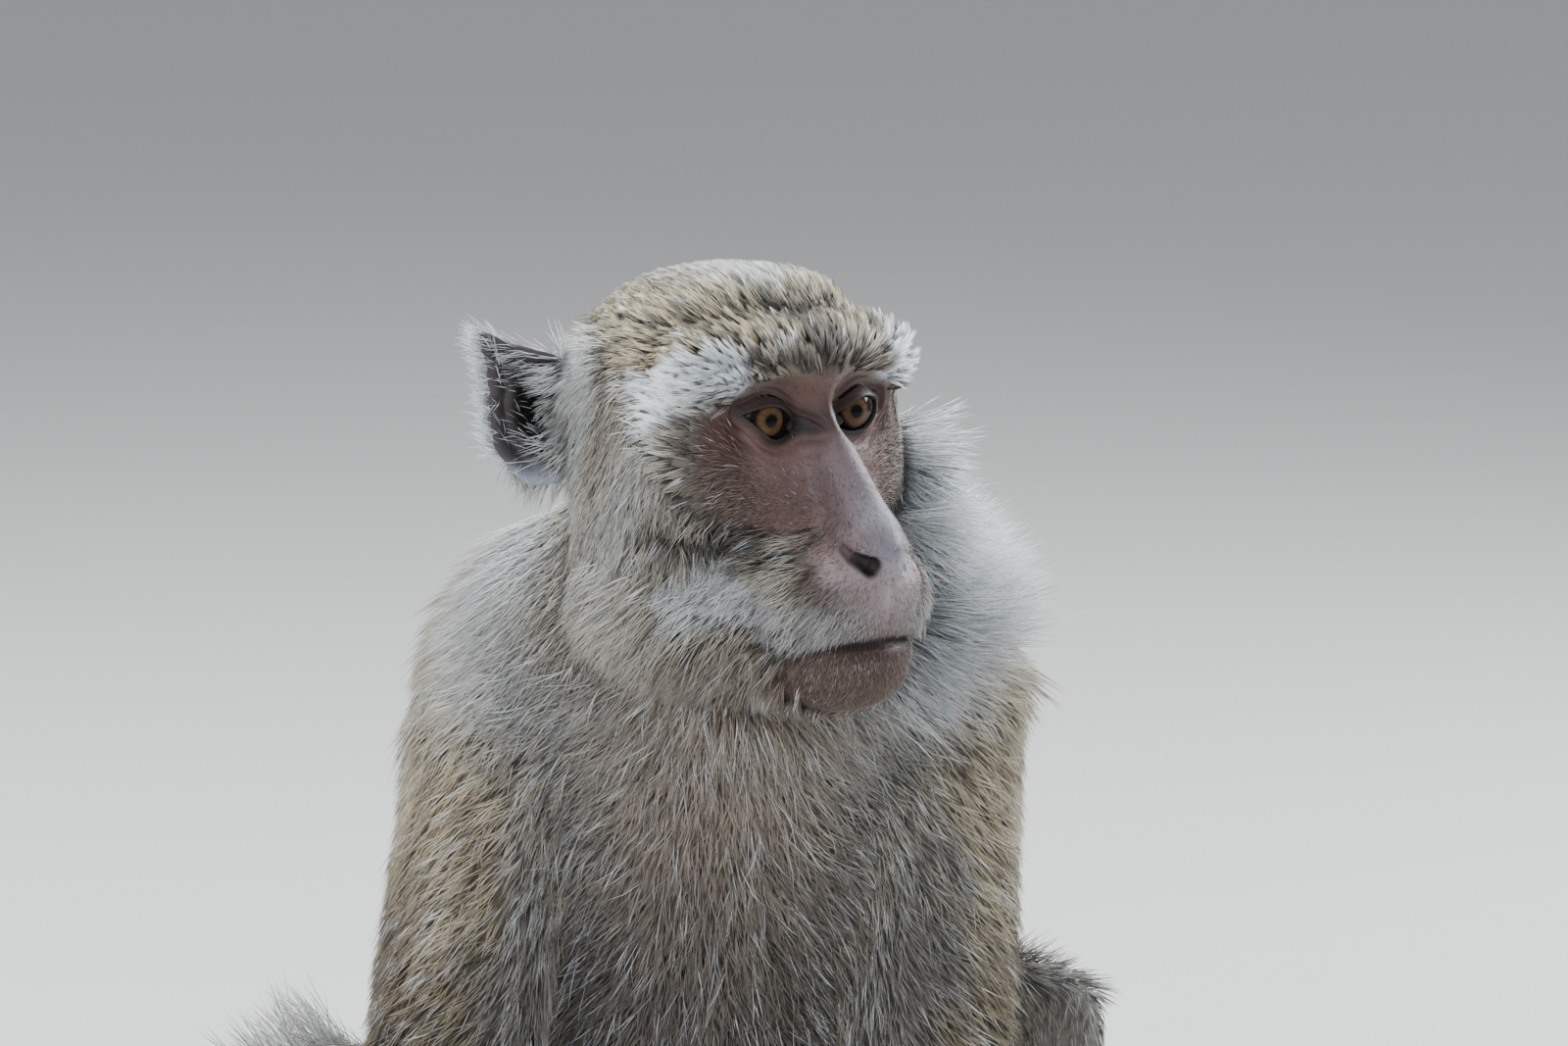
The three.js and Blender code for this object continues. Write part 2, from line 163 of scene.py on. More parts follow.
def united(body: bpy.types.Object, others: Sequence[bpy.types.Object]) -> bpy.types.Object:
    """Joins closed objects to a body, with one skin round them all."""
    for other in others:
        applied(body, "BOOLEAN", operation="UNION", solver="MANIFOLD", object=other)
        bpy.data.objects.remove(other)
    return body


class Surface:
    """A mesh held as arrays, in millimetres, while its points are worked out."""

    EASE = 0.5  # how far a smoothing step goes
    SWELL = -0.52  # the step back after it

    def __init__(self, obj: bpy.types.Object) -> None:
        """Reads an object's points, edges and triangles."""
        mesh = obj.data
        mesh.calc_loop_triangles()
        self.obj = obj
        self.points = self._read(mesh.vertices, "co", float) / MM
        self.edges = self._read(mesh.edges, "vertices", int, 2)
        self.tris = self._read(mesh.loop_triangles, "vertices", int)

    @staticmethod
    def _read(items: object, name: str, kind: type, width: int = 3) -> Array:
        """One property of every item, as rows."""
        values = np.empty(len(items) * width, kind)
        items.foreach_get(name, values)
        return values.reshape(-1, width)

    def crosses(self) -> Array:
        """Each triangle's normal, as long as twice its area."""
        a, b, c = (self.points[self.tris[:, i]] for i in range(3))
        return np.cross(b - a, c - a)

    def normals(self) -> Array:
        """Each point's outward normal."""
        crosses, count = self.crosses(), len(self.points)
        total = np.zeros((count, 3))
        for corner in range(3):
            for axis in range(3):
                total[:, axis] += np.bincount(self.tris[:, corner], crosses[:, axis], count)
        return unit(total)

    def spread(self, values: Array, steps: int, share: Array | float = 0.5) -> Array:
        """Values at the points, evened out with their neighbours'.

        Args:
            values: One row for each point.
            steps: How many times.
            share: How far each goes towards its neighbours' mean, for all or for each point.

        Returns:
            The evened rows.
        """
        flat = values.reshape(len(self.points), -1).astype(float)
        a, b = self.edges.T
        count = len(self.points)
        degree = np.maximum(np.bincount(a, minlength=count) + np.bincount(b, minlength=count), 1)
        weight = np.broadcast_to(share, count)
        for _ in range(steps):
            for axis in range(flat.shape[1]):
                column = flat[:, axis]
                total = np.bincount(a, column[b], count) + np.bincount(b, column[a], count)
                flat[:, axis] = column + (total / degree - column) * weight
        return flat.reshape(values.shape)

    def evened(self, steps: int) -> None:
        """Smooths the points, and swells them back each time so that nothing shrinks."""
        for _ in range(steps):
            self.points = self.spread(self.points, 1, self.EASE)
            self.points = self.spread(self.points, 1, self.SWELL)

    def store(self) -> None:
        """Writes the points back to the object."""
        self.obj.data.vertices.foreach_set("co", (self.points * MM).ravel())
        self.obj.data.update()


# ---------------------------------------------------------------- pose


@dataclass(frozen=True)
class Limb:
    """Joints of one arm or leg in the figure's frame, from the body outwards, as on the left."""

    side: int
    joints: tuple[Triple, Triple, Triple, Triple]

    def points(self) -> Array:
        """The joints in the world, on the limb's own side."""
        return Pose.to_world(np.array(self.joints) * (self.side, 1, 1))


class Pose:
    """Where the figure's joints are, and how its body and head are turned."""

    BODY_YAW = math.radians(10)
    HEAD_YAW = math.radians(42)
    HEAD_AT = (-11.0, -69.0, 328.0)
    ARMS = {
        "left": Limb(1, ((61, -63, 252), (59, -78, 138), (37, -141, 34), (35, -174, 13))),
        "right": Limb(-1, ((52, -63, 248), (73, -72, 138), (40, -138, 34), (37, -171, 13))),
    }
    LEGS = {
        "left": Limb(1, ((38, -4, 60), (92, -60, 160), (83, -100, 33), (97, -172, 13))),
        "right": Limb(-1, ((38, -4, 58), (104, -74, 143), (86, -138, 33), (98, -210, 13))),
    }
    TAIL = ((0, 44, 34), (-4, 76, 17), (-22, 112, 11), (-66, 142, 10), (-118, 146, 10),
            (-164, 118, 9.4), (-188, 66, 8.8), (-194, 6, 8), (-184, -54, 6.6))

    @staticmethod
    def to_world(points: Array) -> Array:
        """Points of the figure's frame in the world."""
        c, s = math.cos(Pose.BODY_YAW), math.sin(Pose.BODY_YAW)
        x, y, z = np.atleast_2d(points).T
        return np.stack([c * x - s * y, s * x + c * y, z], 1)


class HeadFrame:
    """The head's place: x forward out of the face, y to its left, z up."""

    ORIGIN = Pose.to_world(np.array(Pose.HEAD_AT))[0]
    FORWARD = np.array([math.sin(Pose.HEAD_YAW), -math.cos(Pose.HEAD_YAW), 0.0])
    LEFT = np.array([math.cos(Pose.HEAD_YAW), math.sin(Pose.HEAD_YAW), 0.0])
    AXES = np.stack([FORWARD, LEFT, UP])

    @classmethod
    def to_world(cls, points: Array) -> Array:
        """Points of the head's frame in the world."""
        return cls.ORIGIN + points @ cls.AXES

    @classmethod
    def to_head(cls, points: Array) -> Array:
        """Points of the world in the head's frame."""
        return (points - cls.ORIGIN) @ cls.AXES.T

    @classmethod
    def turned(cls, ways: Array) -> Array:
        """Directions of the head's frame in the world."""
        return ways @ cls.AXES


# ---------------------------------------------------------------- head


@dataclass(frozen=True)
class EyeForm:
    """One eyeball and the opening of its lids, as on the left."""

    centre: Triple = (52.6, 15.2, 7.1)
    radius: float = 9.2
    lid: float = 10.3  # the lids' outer radius
    floor: float = 8.3  # the flesh behind the ball's front, hidden by it
    inner: tuple[float, float] = (-10.2, -2.4)  # the corner by the nose, across and up from the centre
    outer: tuple[float, float] = (8.4, 1.7)
    above: float = 3.6
    below: float = 5.0
    lean: float = 1.15  # over 1 narrows the corner by the nose

    def opening(self, p: Array) -> Array:
        """How far points lie outside the opening, seen from in front; under 0 is inside it."""
        across, up = p[:, 1] - self.centre[1], p[:, 2] - self.centre[2]
        t = (across - self.inner[0]) / (self.outer[0] - self.inner[0])
        chord = self.inner[1] + (self.outer[1] - self.inner[1]) * t
        arch = np.sin(math.pi * np.clip(t, 0, 1) ** self.lean)
        outside = np.maximum(-t, t - 1) * (self.outer[0] - self.inner[0])
        rise = np.maximum(up - chord - self.above * arch, chord - self.below * arch - up)
        return np.where(outside > 0, np.hypot(np.maximum(outside, 0), np.maximum(rise, 0)), rise)

    def above_line(self, p: Array) -> Array:
        """1 over the line between the corners and 0 under it."""
        across, up = p[:, 1] - self.centre[1], p[:, 2] - self.centre[2]
        slope = (self.outer[1] - self.inner[1]) / (self.outer[0] - self.inner[0])
        return ramp(up - self.inner[1] - slope * (across - self.inner[0]), -1.5, 1.5)


class HeadForm:
    """The bare skin of the head as a distance field; its two sides are alike."""

    EYE = EyeForm()
    CENTRE = (24.0, 0.0, -12.0)  # rays run out from here
    EYE_REACH = 15.0  # how far round each eye the lidded skin goes
    EYE_FRONT = 47.0  # and how far forward it starts
    LONGEST = 1.35  # the longest edge, over the wanted one
    NOSTRIL = ((82.2, 10.6, -25.2), (85.0, 9.4, -27.4), (88.8, 6.2, -29.7))
    WING = ((81.0, 11.0, -22.2), (90.0, 6.8, -26.6))
    FURRY = (
        (((21, 0, 6.5), (40, 35, 34), 2.4), 1.0),  # crown and nape
        (((28, 0, 12.5), (27, 36.3, 29.0), 2.6), 8.0),  # forehead
        (((28, 22, -22), (27, 22, 32), 2.0), 12.0),  # chewing muscle
        (((28, 10, -46), (33, 30, 19), 2.0), 14.0),  # jowl and throat
    )
    BARE = (
        (((41, 14, -6), (21, 26, 33), 2.0), 9.0),  # cheek bones
        (((65, 0, -39.5), (25, 21.5, 15), 2.2), 7.0),  # upper lip
        (((66.5, 0, -58), (19.5, 18.5, 11.5), 2.2), 4.0),  # lower lip and chin
        (((81, 0, -27), (10.5, 7.2, 6.5), 2.0), 4.0),  # tip of the nose
    )
    BARS = (
        (((58.5, 0, 20.5), (50, 30.5, 19.5), 8.6, 8.4), 6.0),  # brow ridge
        (((52, 0, -30), (68, 0, -37), 24.5, 17.5), 10.0),  # muzzle
        (((40, 0, -50), (69.5, 0, -54), 19.5, 13.6), 8.0),  # lower jaw
        (((57, 0, 10), (81.5, 0, -22), 5.6, 7.1), 7.0),  # bridge of the nose
    )

    @staticmethod
    def folded(p: Array) -> Array:
        """Points brought to the left side."""
        return np.stack([p[:, 0], np.abs(p[:, 1]), p[:, 2]], 1)

    def bone(self, p: Array) -> Array:
        """The distance to the head's main forms, with no lids or folds."""
        d = np.full(len(p), 1e3)
        for args, blend in self.FURRY + self.BARE:
            d = smooth_min(d, blob(p, *args), blend)
        for args, blend in self.BARS:
            d = smooth_min(d, bar(p, *args), blend)
        socket = blob(p, (66, 17, 8), (11, 13.5, 11))
        return smooth_max(d, -socket, 5)

    @staticmethod
    def mouth(p: Array) -> Array:
        """How high places lie over the line between the lips."""
        return p[:, 2] + 50.8 + 1.2 * ramp(p[:, 1], 18, 30)

    @classmethod
    def nostril(cls, p: Array) -> Array:
        """The distance to a nostril's bent line."""
        back, middle, front = cls.NOSTRIL
        return np.minimum(bar(p, back, middle, -0.9, -0.4), bar(p, middle, front, -0.2, 0.7))

    def relief(self, p: Array) -> Array:
        """How far the skin is pressed in by folds, and out where this is under 0.

        Args:
            p: Folded places in the head's frame.

        Returns:
            One depth for each place.
        """
        line, front, lip = self.mouth(p), ramp(p[:, 0], 54, 62), ramp(p[:, 0], 60, 74)
        mouth = 2.2 * bump(line, 1.0) * front - 0.6 * bump(line - 3.2, 2.4) * lip
        mouth -= 0.8 * bump(line + 4.4, 2.8) * lip
        philtrum = 0.8 * bump(bar(p, (91, 0, -33), (91, 0, -45)), 1.5)
        nostril = 5.0 * bump(np.maximum(self.nostril(p), 0), 1.25) - 0.9 * bump(bar(p, *self.WING), 2.0)
        ball = -0.6 * bump(bar(p, (92, 0, -25), (91, 0, -30)), 2.6)
        crease = 3.0 * bump(bar(p, (44, 38, -20), (66, 21, -27)), 3.6)
        pad = -1.6 * bump(bar(p, (58, 27, -39), (78, 20, -42)), 8.0)
        side = 0.9 * bump(bar(p, (66, 13, -8), (77, 12, -20)), 5.0)
        chin = -0.8 * bump(bar(p, (82, 0, -60), (80, 6, -60)), 5.0)
        wing = 0.7 * bump(bar(p, (77, 13, -27), (86, 11, -32)), 2.2)
        return mouth + philtrum + nostril + wing + ball + crease + pad + side + chin

    def orbit_folds(self, p: Array) -> Array:
        """How far the skin round an eye is pressed in, by folds that run with the lids."""
        gap, over = self.EYE.opening(p), self.EYE.above_line(p)
        near = ramp(p[:, 0], 44, 50)
        upper = 0.7 * bump(gap - 3.0, 0.8) - 0.25 * bump(gap - 4.6, 0.9)
        lower = 0.5 * bump(gap - 3.2, 0.8) + 0.35 * bump(gap - 6.4, 1.0) + 0.25 * bump(gap - 9.6, 1.3)
        return near * (upper * over + lower * (1 - over))

    def field(self, point: Array) -> Array:
        """The distance to the skin, lids left out."""
        p = self.folded(point)
        return self.bone(p) + self.relief(p)

    def lidded(self, point: Array) -> Array:
        """The distance to the skin round the eyes, with lids and their opening."""
        p = self.folded(point)
        eye = self.EYE
        away = np.linalg.norm(p - np.array(eye.centre), axis=1)
        rim = eye.lid - 0.5 * ramp(eye.opening(p), 0.2, 2.0)
        d = smooth_min(self.bone(p) + self.relief(p), away - rim, 3.0) + self.orbit_folds(p)
        canthus = blob(p, (60.6, 6.3, 4.8), (3.2, 3.4, 2.2))
        behind = smooth_min(away - eye.floor, canthus, 0.8)
        return smooth_max(d, -smooth_max(eye.opening(p), -behind, 0.4), 0.7)

    def cast(self, rays: Array) -> Array:
        """Where rays from the centre leave the head.

        Args:
            rays: Unit directions.

        Returns:
            One point for each ray.
        """
        far, steps, pace = 120.0, 50, 0.75
        centre, reach = np.array(self.CENTRE), np.full(len(rays), far)
        for _ in range(steps):
            reach -= pace * self.field(centre + rays * reach[:, None])
        return centre + rays * reach[:, None]

    def fronted(self, points: Array) -> Array:
        """Moves points round the eyes straight forward or back on to the lidded skin.

        Args:
            points: The head's points in its own frame.

        Returns:
            All the points, those away from the eyes as they were.
        """
        p = self.folded(points)
        reach = np.hypot(p[:, 1] - self.EYE.centre[1], p[:, 2] - self.EYE.centre[2])
        chosen = np.flatnonzero((reach < self.EYE_REACH) & (p[:, 0] > self.EYE_FRONT))
        moved, start, steps, pace = points[chosen], 74.0, 70, 0.5
        moved[:, 0] = start
        for _ in range(steps):
            moved[:, 0] -= pace * self.lidded(moved)
        share = ramp(reach[chosen], self.EYE_REACH, 12.5)[:, None]
        result = points.copy()
        result[chosen] += (moved - points[chosen]) * share
        return result

    def wanted(self, p: Array) -> Array:
        """The edge length that the skin needs at each point."""
        q = self.folded(p)
        gap = self.EYE.opening(q)
        size = np.where(q[:, 0] > 44, 1.15, 2.6)
        size = np.where(q[:, 0] > 70, 0.8, size)
        size = np.where(self.nostril(q) < 4, 0.5, size)
        size = np.where((q[:, 0] > 48) & (gap < 7), 0.62, size)
        return np.where((q[:, 0] > 48) & (np.abs(gap) < 1.8), 0.36, size)

    def build(self) -> bpy.types.Object:
        """The head's skin: a sphere cast on the form, finer where the face needs it."""
        bm = bmesh.new()
        bmesh.ops.create_icosphere(bm, subdivisions=4, radius=1.0)
        points = np.zeros((0, 3))
        passes = 7
        for _ in range(passes):
            bm.verts.ensure_lookup_table()
            rays = unit(np.array([v.co[:] for v in bm.verts[len(points) :]]))
            points = np.vstack([points, self.cast(rays)])
            ends = np.array([[e.verts[0].index, e.verts[1].index] for e in bm.edges])
            a, b = points[ends[:, 0]], points[ends[:, 1]]
            long = np.linalg.norm(a - b, axis=1) > self.LONGEST * self.wanted((a + b) / 2)
            if not long.any():
                break
            edges = [e for e, is_long in zip(bm.edges, long) if is_long]
            bmesh.ops.subdivide_edges(bm, edges=edges, cuts=1, use_single_edge=True)
            bmesh.ops.triangulate(bm, faces=bm.faces[:], quad_method="SHORT_EDGE")
            bm.verts.index_update()
        bm.verts.ensure_lookup_table()
        rest = [v.co[:] for v in bm.verts[len(points) :]]
        if rest:
            points = np.vstack([points, self.cast(unit(np.array(rest)))])
        points = self.fronted(points)
        world = HeadFrame.to_world(points) * MM
        for vert, place in zip(bm.verts, world):
            vert.co = place
        bmesh.ops.recalc_face_normals(bm, faces=bm.faces[:])
        return from_bmesh("head_skin", bm)


@dataclass(frozen=True)
class EarForm:
    """An ear: a thin cupped plate with a rolled rim and a drawn-out tip, hinged at its front edge."""

    stretch: float = 1.3  # across, over the outline's own measures
    middle: float = 11.0  # how far behind the hinge the plate's middle lies
    outline: tuple[tuple[float, float], ...] = (  # degrees up from straight back, and the reach there
        (-180, 11.0), (-145, 14.0), (-115, 18.6), (-85, 19.2), (-62, 14.2), (-30, 10.4), (0, 9.6), (35, 11.6),
        (54, 16.6), (62, 25.8), (70, 20.0), (88, 17.2), (110, 15.6), (145, 13.0),
    )
    wall: float = 1.5
    dish: float = 4.5
    bowl: float = 5.5
    bowl_at: tuple[float, float] = (14.5, 1.5)  # back from the hinge, and up
    turn: float = math.radians(46)
    place: Triple = (6.0, 31.0, 5.0)

    def surface(self, across: Array, up: Array) -> Array:
        """The plate's middle surface.

        Args:
            across: Places on a disc of radius 1, straight back from its middle.
            up: The same places' heights on the disc.

        Returns:
            One point for each place, in the plate's own frame.
        """
        reach, angle = np.hypot(across, up), np.degrees(np.arctan2(up, across))
        turns, sizes = np.array(self.outline).T
        size = np.interp(angle, turns, sizes, period=360)
        back = self.stretch * (self.middle + across * size)
        high = up * size
        behind = ramp(across, -0.5, 0.1)
        rim = 2.0 * bump(reach - 0.95, 0.09) * behind
        ridge = 1.3 * bump(reach - 0.6, 0.12) * behind
        at_bowl = np.hypot((back - self.bowl_at[0]) / 5.5, (high - self.bowl_at[1]) / 7.5)
        depth = -self.dish * (1 - reach**2) + rim + ridge - self.bowl * bump(at_bowl, 0.8)
        return np.stack([-back, depth, high], 1)

    def placed(self, p: Array, side: int) -> Array:
        """The plate's points on the head."""
        c, s = math.cos(self.turn), math.sin(self.turn)
        x, y, z = p[:, 0] * c + p[:, 1] * s, -p[:, 0] * s + p[:, 1] * c, p[:, 2]
        return (np.stack([x, y, z], 1) + np.array(self.place)) * (1, side, 1)

    def build(self, name: str, side: int) -> bpy.types.Object:
        """One ear as a closed shell.

        Args:
            name: The object's name.
            side: 1 for the left and -1 for the right.

        Returns:
            The ear, its front edge inside the head.
        """
        bm = bmesh.new()
        bmesh.ops.create_grid(bm, x_segments=44, y_segments=60, size=1.0)
        flat = np.array([v.co[:] for v in bm.verts])
        across = flat[:, 0] * np.sqrt(1 - flat[:, 1] ** 2 / 2)
        up = flat[:, 1] * np.sqrt(1 - flat[:, 0] ** 2 / 2)
        world = HeadFrame.to_world(self.placed(self.surface(across, up), side)) * MM
        for vert, place in zip(bm.verts, world):
            vert.co = place
        bm.normal_update()
        bmesh.ops.solidify(bm, geom=bm.faces[:], thickness=self.wall * MM)
        bmesh.ops.recalc_face_normals(bm, faces=bm.faces[:])
        for _ in range(2):
            bmesh.ops.smooth_vert(
                bm, verts=bm.verts[:], factor=0.4, use_axis_x=True, use_axis_y=True, use_axis_z=True
            )
        return from_bmesh(name, bm)


# ---------------------------------------------------------------- body


FLESH = [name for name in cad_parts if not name.startswith("eye")]


class Solids:
    """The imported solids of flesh, to copy and to find which one a point belongs to."""

    def __init__(self) -> None:
        """Reads every solid once."""
        verts, faces = [], []
        self.owner: list[int] = []
        for number, name in enumerate(FLESH):
            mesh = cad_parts[name].data
            start = len(verts)
            verts.extend(v.co[:] for v in mesh.vertices)
            faces.extend([start + i for i in face.vertices] for face in mesh.polygons)
            self.owner.extend([number] * len(mesh.polygons))
        self.tree = BVHTree.FromPolygons(verts, faces)

    def nearest(self, points: Array) -> Array:
        """The number in FLESH of the solid nearest to each point."""
        find = self.tree.find_nearest
        return np.array([self.owner[find(Vector(p))[2]] for p in points * MM])

    @staticmethod
    def copied(name: str, nodes: Sequence[str], swell: float) -> bpy.types.Object:
        """One object with copies of some solids, each swollen so that the cuts between them close."""
        bm = bmesh.new()
        for node in nodes:
            bm.from_mesh(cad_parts[node].data)
        bmesh.ops.remove_doubles(bm, verts=bm.verts[:], dist=1e-6)
        bm.normal_update()
        for vert in bm.verts:
            vert.co += vert.normal * swell * MM
        return from_bmesh(name, bm)


@dataclass(frozen=True)
class BodyForm:
    """The skin below the head, drawn in from the solids by the depth of the coat over it."""

    swell: float = 1.0
    voxel: float = 3.3
    fine_voxel: float = 1.82
    core_shrink: float = 0.55  # how far the solid of the head goes towards its middle
    blend: int = 14  # steps that even the depths and the first skin
    finish: int = 6  # steps that even the last skin and the core's edge
    draw_steps: int = 10
    depths: dict[str, float] = field(
        default_factory=lambda: {
            "head": 15.0, "ear": 15.0, "neck": 5.0, "chest": 8.0, "hips": 9.0, "upper_arm": 4.0,
            "forearm": 3.5, "thigh": 7.0, "shank": 4.0, "tail": 3.0, "hand": 3.0, "foot": 3.0,
        }
    )
    bare_depth: float = 0.9

    def depth_of(self, node: str) -> float:
        """The coat's depth over one solid."""
        return next(d for part, d in self.depths.items() if node.startswith(part))

    def drawn_in(self, obj: bpy.types.Object, depth: Array, steps: int) -> bpy.types.Object:
        """Moves an object's points inwards, a little at a time so that it stays smooth.

        Args:
            obj: The object, which is changed.
            depth: How far each of its points goes.
            steps: How many moves make up the whole.

        Returns:
            The same object.
        """
        surface = Surface(obj)
        for _ in range(steps):
            ways = unit(surface.spread(surface.normals(), 3))
            surface.points -= ways * depth[:, None] / steps
            surface.evened(1)
        surface.store()
        return obj

    def trunk(self, solids: Solids) -> bpy.types.Object:
        """Trunk, neck, limbs and tail in one, with the head shrunk to a core.

        Args:
            solids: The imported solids.

        Returns:
            One closed skin.
        """
        nodes = [n for n in FLESH if not n.startswith("ear")]
        obj = solids.copied("body_skin", nodes, self.swell)
        applied(obj, "REMESH", mode="VOXEL", voxel_size=self.voxel * MM)
        surface = Surface(obj)
        owner = solids.nearest(surface.points)
        depths = np.array([self.depth_of(name) for name in FLESH])
        depth = surface.spread(depths[owner], self.blend)
        core = surface.spread((owner == FLESH.index("head")).astype(float), self.finish)[:, None]
        middle = HeadFrame.to_world(np.array([HeadForm.CENTRE]))
        surface.points += (middle - surface.points) * core * self.core_shrink
        surface.evened(self.blend)
        surface.store()
        self.drawn_in(obj, depth * (1 - core[:, 0]), self.draw_steps)
        applied(obj, "REMESH", mode="VOXEL", voxel_size=self.voxel * MM)
        surface = Surface(obj)
        surface.evened(self.finish)
        surface.store()
        return obj

    def extremity(self, solids: Solids, node: str) -> bpy.types.Object:
        """A hand or foot, nearly at the size of its solid."""
        obj = solids.copied(f"{node}_skin", [node], 0.0)
        applied(obj, "REMESH", mode="VOXEL", voxel_size=self.fine_voxel * MM)
        return self.drawn_in(obj, np.full(len(obj.data.vertices), self.bare_depth), 3)

    def build(self, solids: Solids) -> tuple[bpy.types.Object, list[bpy.types.Object]]:
        """The body's skin, and the hands and feet to join to it."""
        ends = [n for n in FLESH if n.startswith(("hand", "foot"))]
        return self.trunk(solids), [self.extremity(solids, n) for n in ends]


# ---------------------------------------------------------------- finishes


def node_tree(name: str) -> tuple[bpy.types.Material, bpy.types.NodeTree, bpy.types.Node]:
    """A new material, its nodes and its surface shader."""
    material = bpy.data.materials.new(name)
    material.use_nodes = True
    tree = material.node_tree
    return material, tree, tree.nodes["Principled BSDF"]


def add_node(tree: bpy.types.NodeTree, kind: str, **values: object) -> bpy.types.Node:
    """A new node, with its unlinked inputs set by name and its other settings as properties."""
    node = tree.nodes.new(kind)
    for name, value in values.items():
        socket = node.inputs.get(name.replace("_", " "))
        if socket is not None:
            socket.default_value = value
        else:
            setattr(node, name, value)
    return node


def noise(tree: bpy.types.NodeTree, scale: float, detail: float = 3.0) -> bpy.types.Node:
    """Noise over the object's own coordinates, with features of about 1 / scale metres."""
    place = add_node(tree, "ShaderNodeTexCoord")
    node = add_node(tree, "ShaderNodeTexNoise", Scale=scale, Detail=detail)
    tree.links.new(place.outputs["Object"], node.inputs["Vector"])
    return node


def tinted(tree: bpy.types.NodeTree) -> bpy.types.NodeSocket:
    """The colour that each point of the mesh carries."""
    return add_node(tree, "ShaderNodeAttribute", attribute_name=TINT).outputs["Color"]


def shaded(
    tree: bpy.types.NodeTree, colour: bpy.types.NodeSocket, grain: bpy.types.Node, **span: float
) -> bpy.types.NodeSocket:
    """Darkens and lightens a colour by a grain.

    Args:
        tree: The material's nodes.
        colour: The colour before.
        grain: The noise that says where it is darker and where paler.
        span: The shade at the grain's lowest and highest, as a Map Range node's inputs.

    Returns:
        The shaded colour.
    """
    spread = add_node(tree, "ShaderNodeMapRange", **span)
    tree.links.new(grain.outputs["Fac"], spread.inputs["Value"])
    shade = add_node(tree, "ShaderNodeVectorMath", operation="SCALE")
    tree.links.new(colour, shade.inputs[0])
    tree.links.new(spread.outputs["Result"], shade.inputs["Scale"])
    return shade.outputs["Vector"]


@dataclass(frozen=True)
class BareSkin:
    """Bare skin: fine pores and creases, a little sheen, and the colours on the mesh, painted shade among
    them.
    """

    roughness: float = 0.52
    gloss: float = 0.45
    pore_scale: float = 900.0
    pore_depth: float = 0.0006
    mottle_scale: float = 160.0
    bump: float = 0.35

    def material(self, name: str) -> bpy.types.Material:
        """The finish as a material."""
        material, tree, shader = node_tree(name)
        colour = shaded(tree, tinted(tree), noise(tree, self.mottle_scale), To_Min=0.78, To_Max=1.22)
        tree.links.new(colour, shader.inputs["Base Color"])
        pores = noise(tree, self.pore_scale, 4.0)
        height = add_node(tree, "ShaderNodeBump", Strength=self.bump, Distance=self.pore_depth)
        tree.links.new(pores.outputs["Fac"], height.inputs["Height"])
        tree.links.new(height.outputs["Normal"], shader.inputs["Normal"])
        shader.inputs["Roughness"].default_value = self.roughness
        shader.inputs["Specular IOR Level"].default_value = self.gloss
        return material


@dataclass(frozen=True)
class Hair:
    """A tuft's finish: its own tint from root to tip, with a soft gloss."""

    roughness: float = 0.55
    gloss: float = 0.3
    sheen: float = 0.12
    fleck_scale: float = 500.0

    def material(self, name: str) -> bpy.types.Material:
        """The finish as a material."""
        material, tree, shader = node_tree(name)
        colour = shaded(tree, tinted(tree), noise(tree, self.fleck_scale, 2.0), To_Min=0.82, To_Max=1.18)
        tree.links.new(colour, shader.inputs["Base Color"])
        shader.inputs["Roughness"].default_value = self.roughness
        shader.inputs["Specular IOR Level"].default_value = self.gloss
        shader.inputs["Sheen Weight"].default_value = self.sheen
        return material


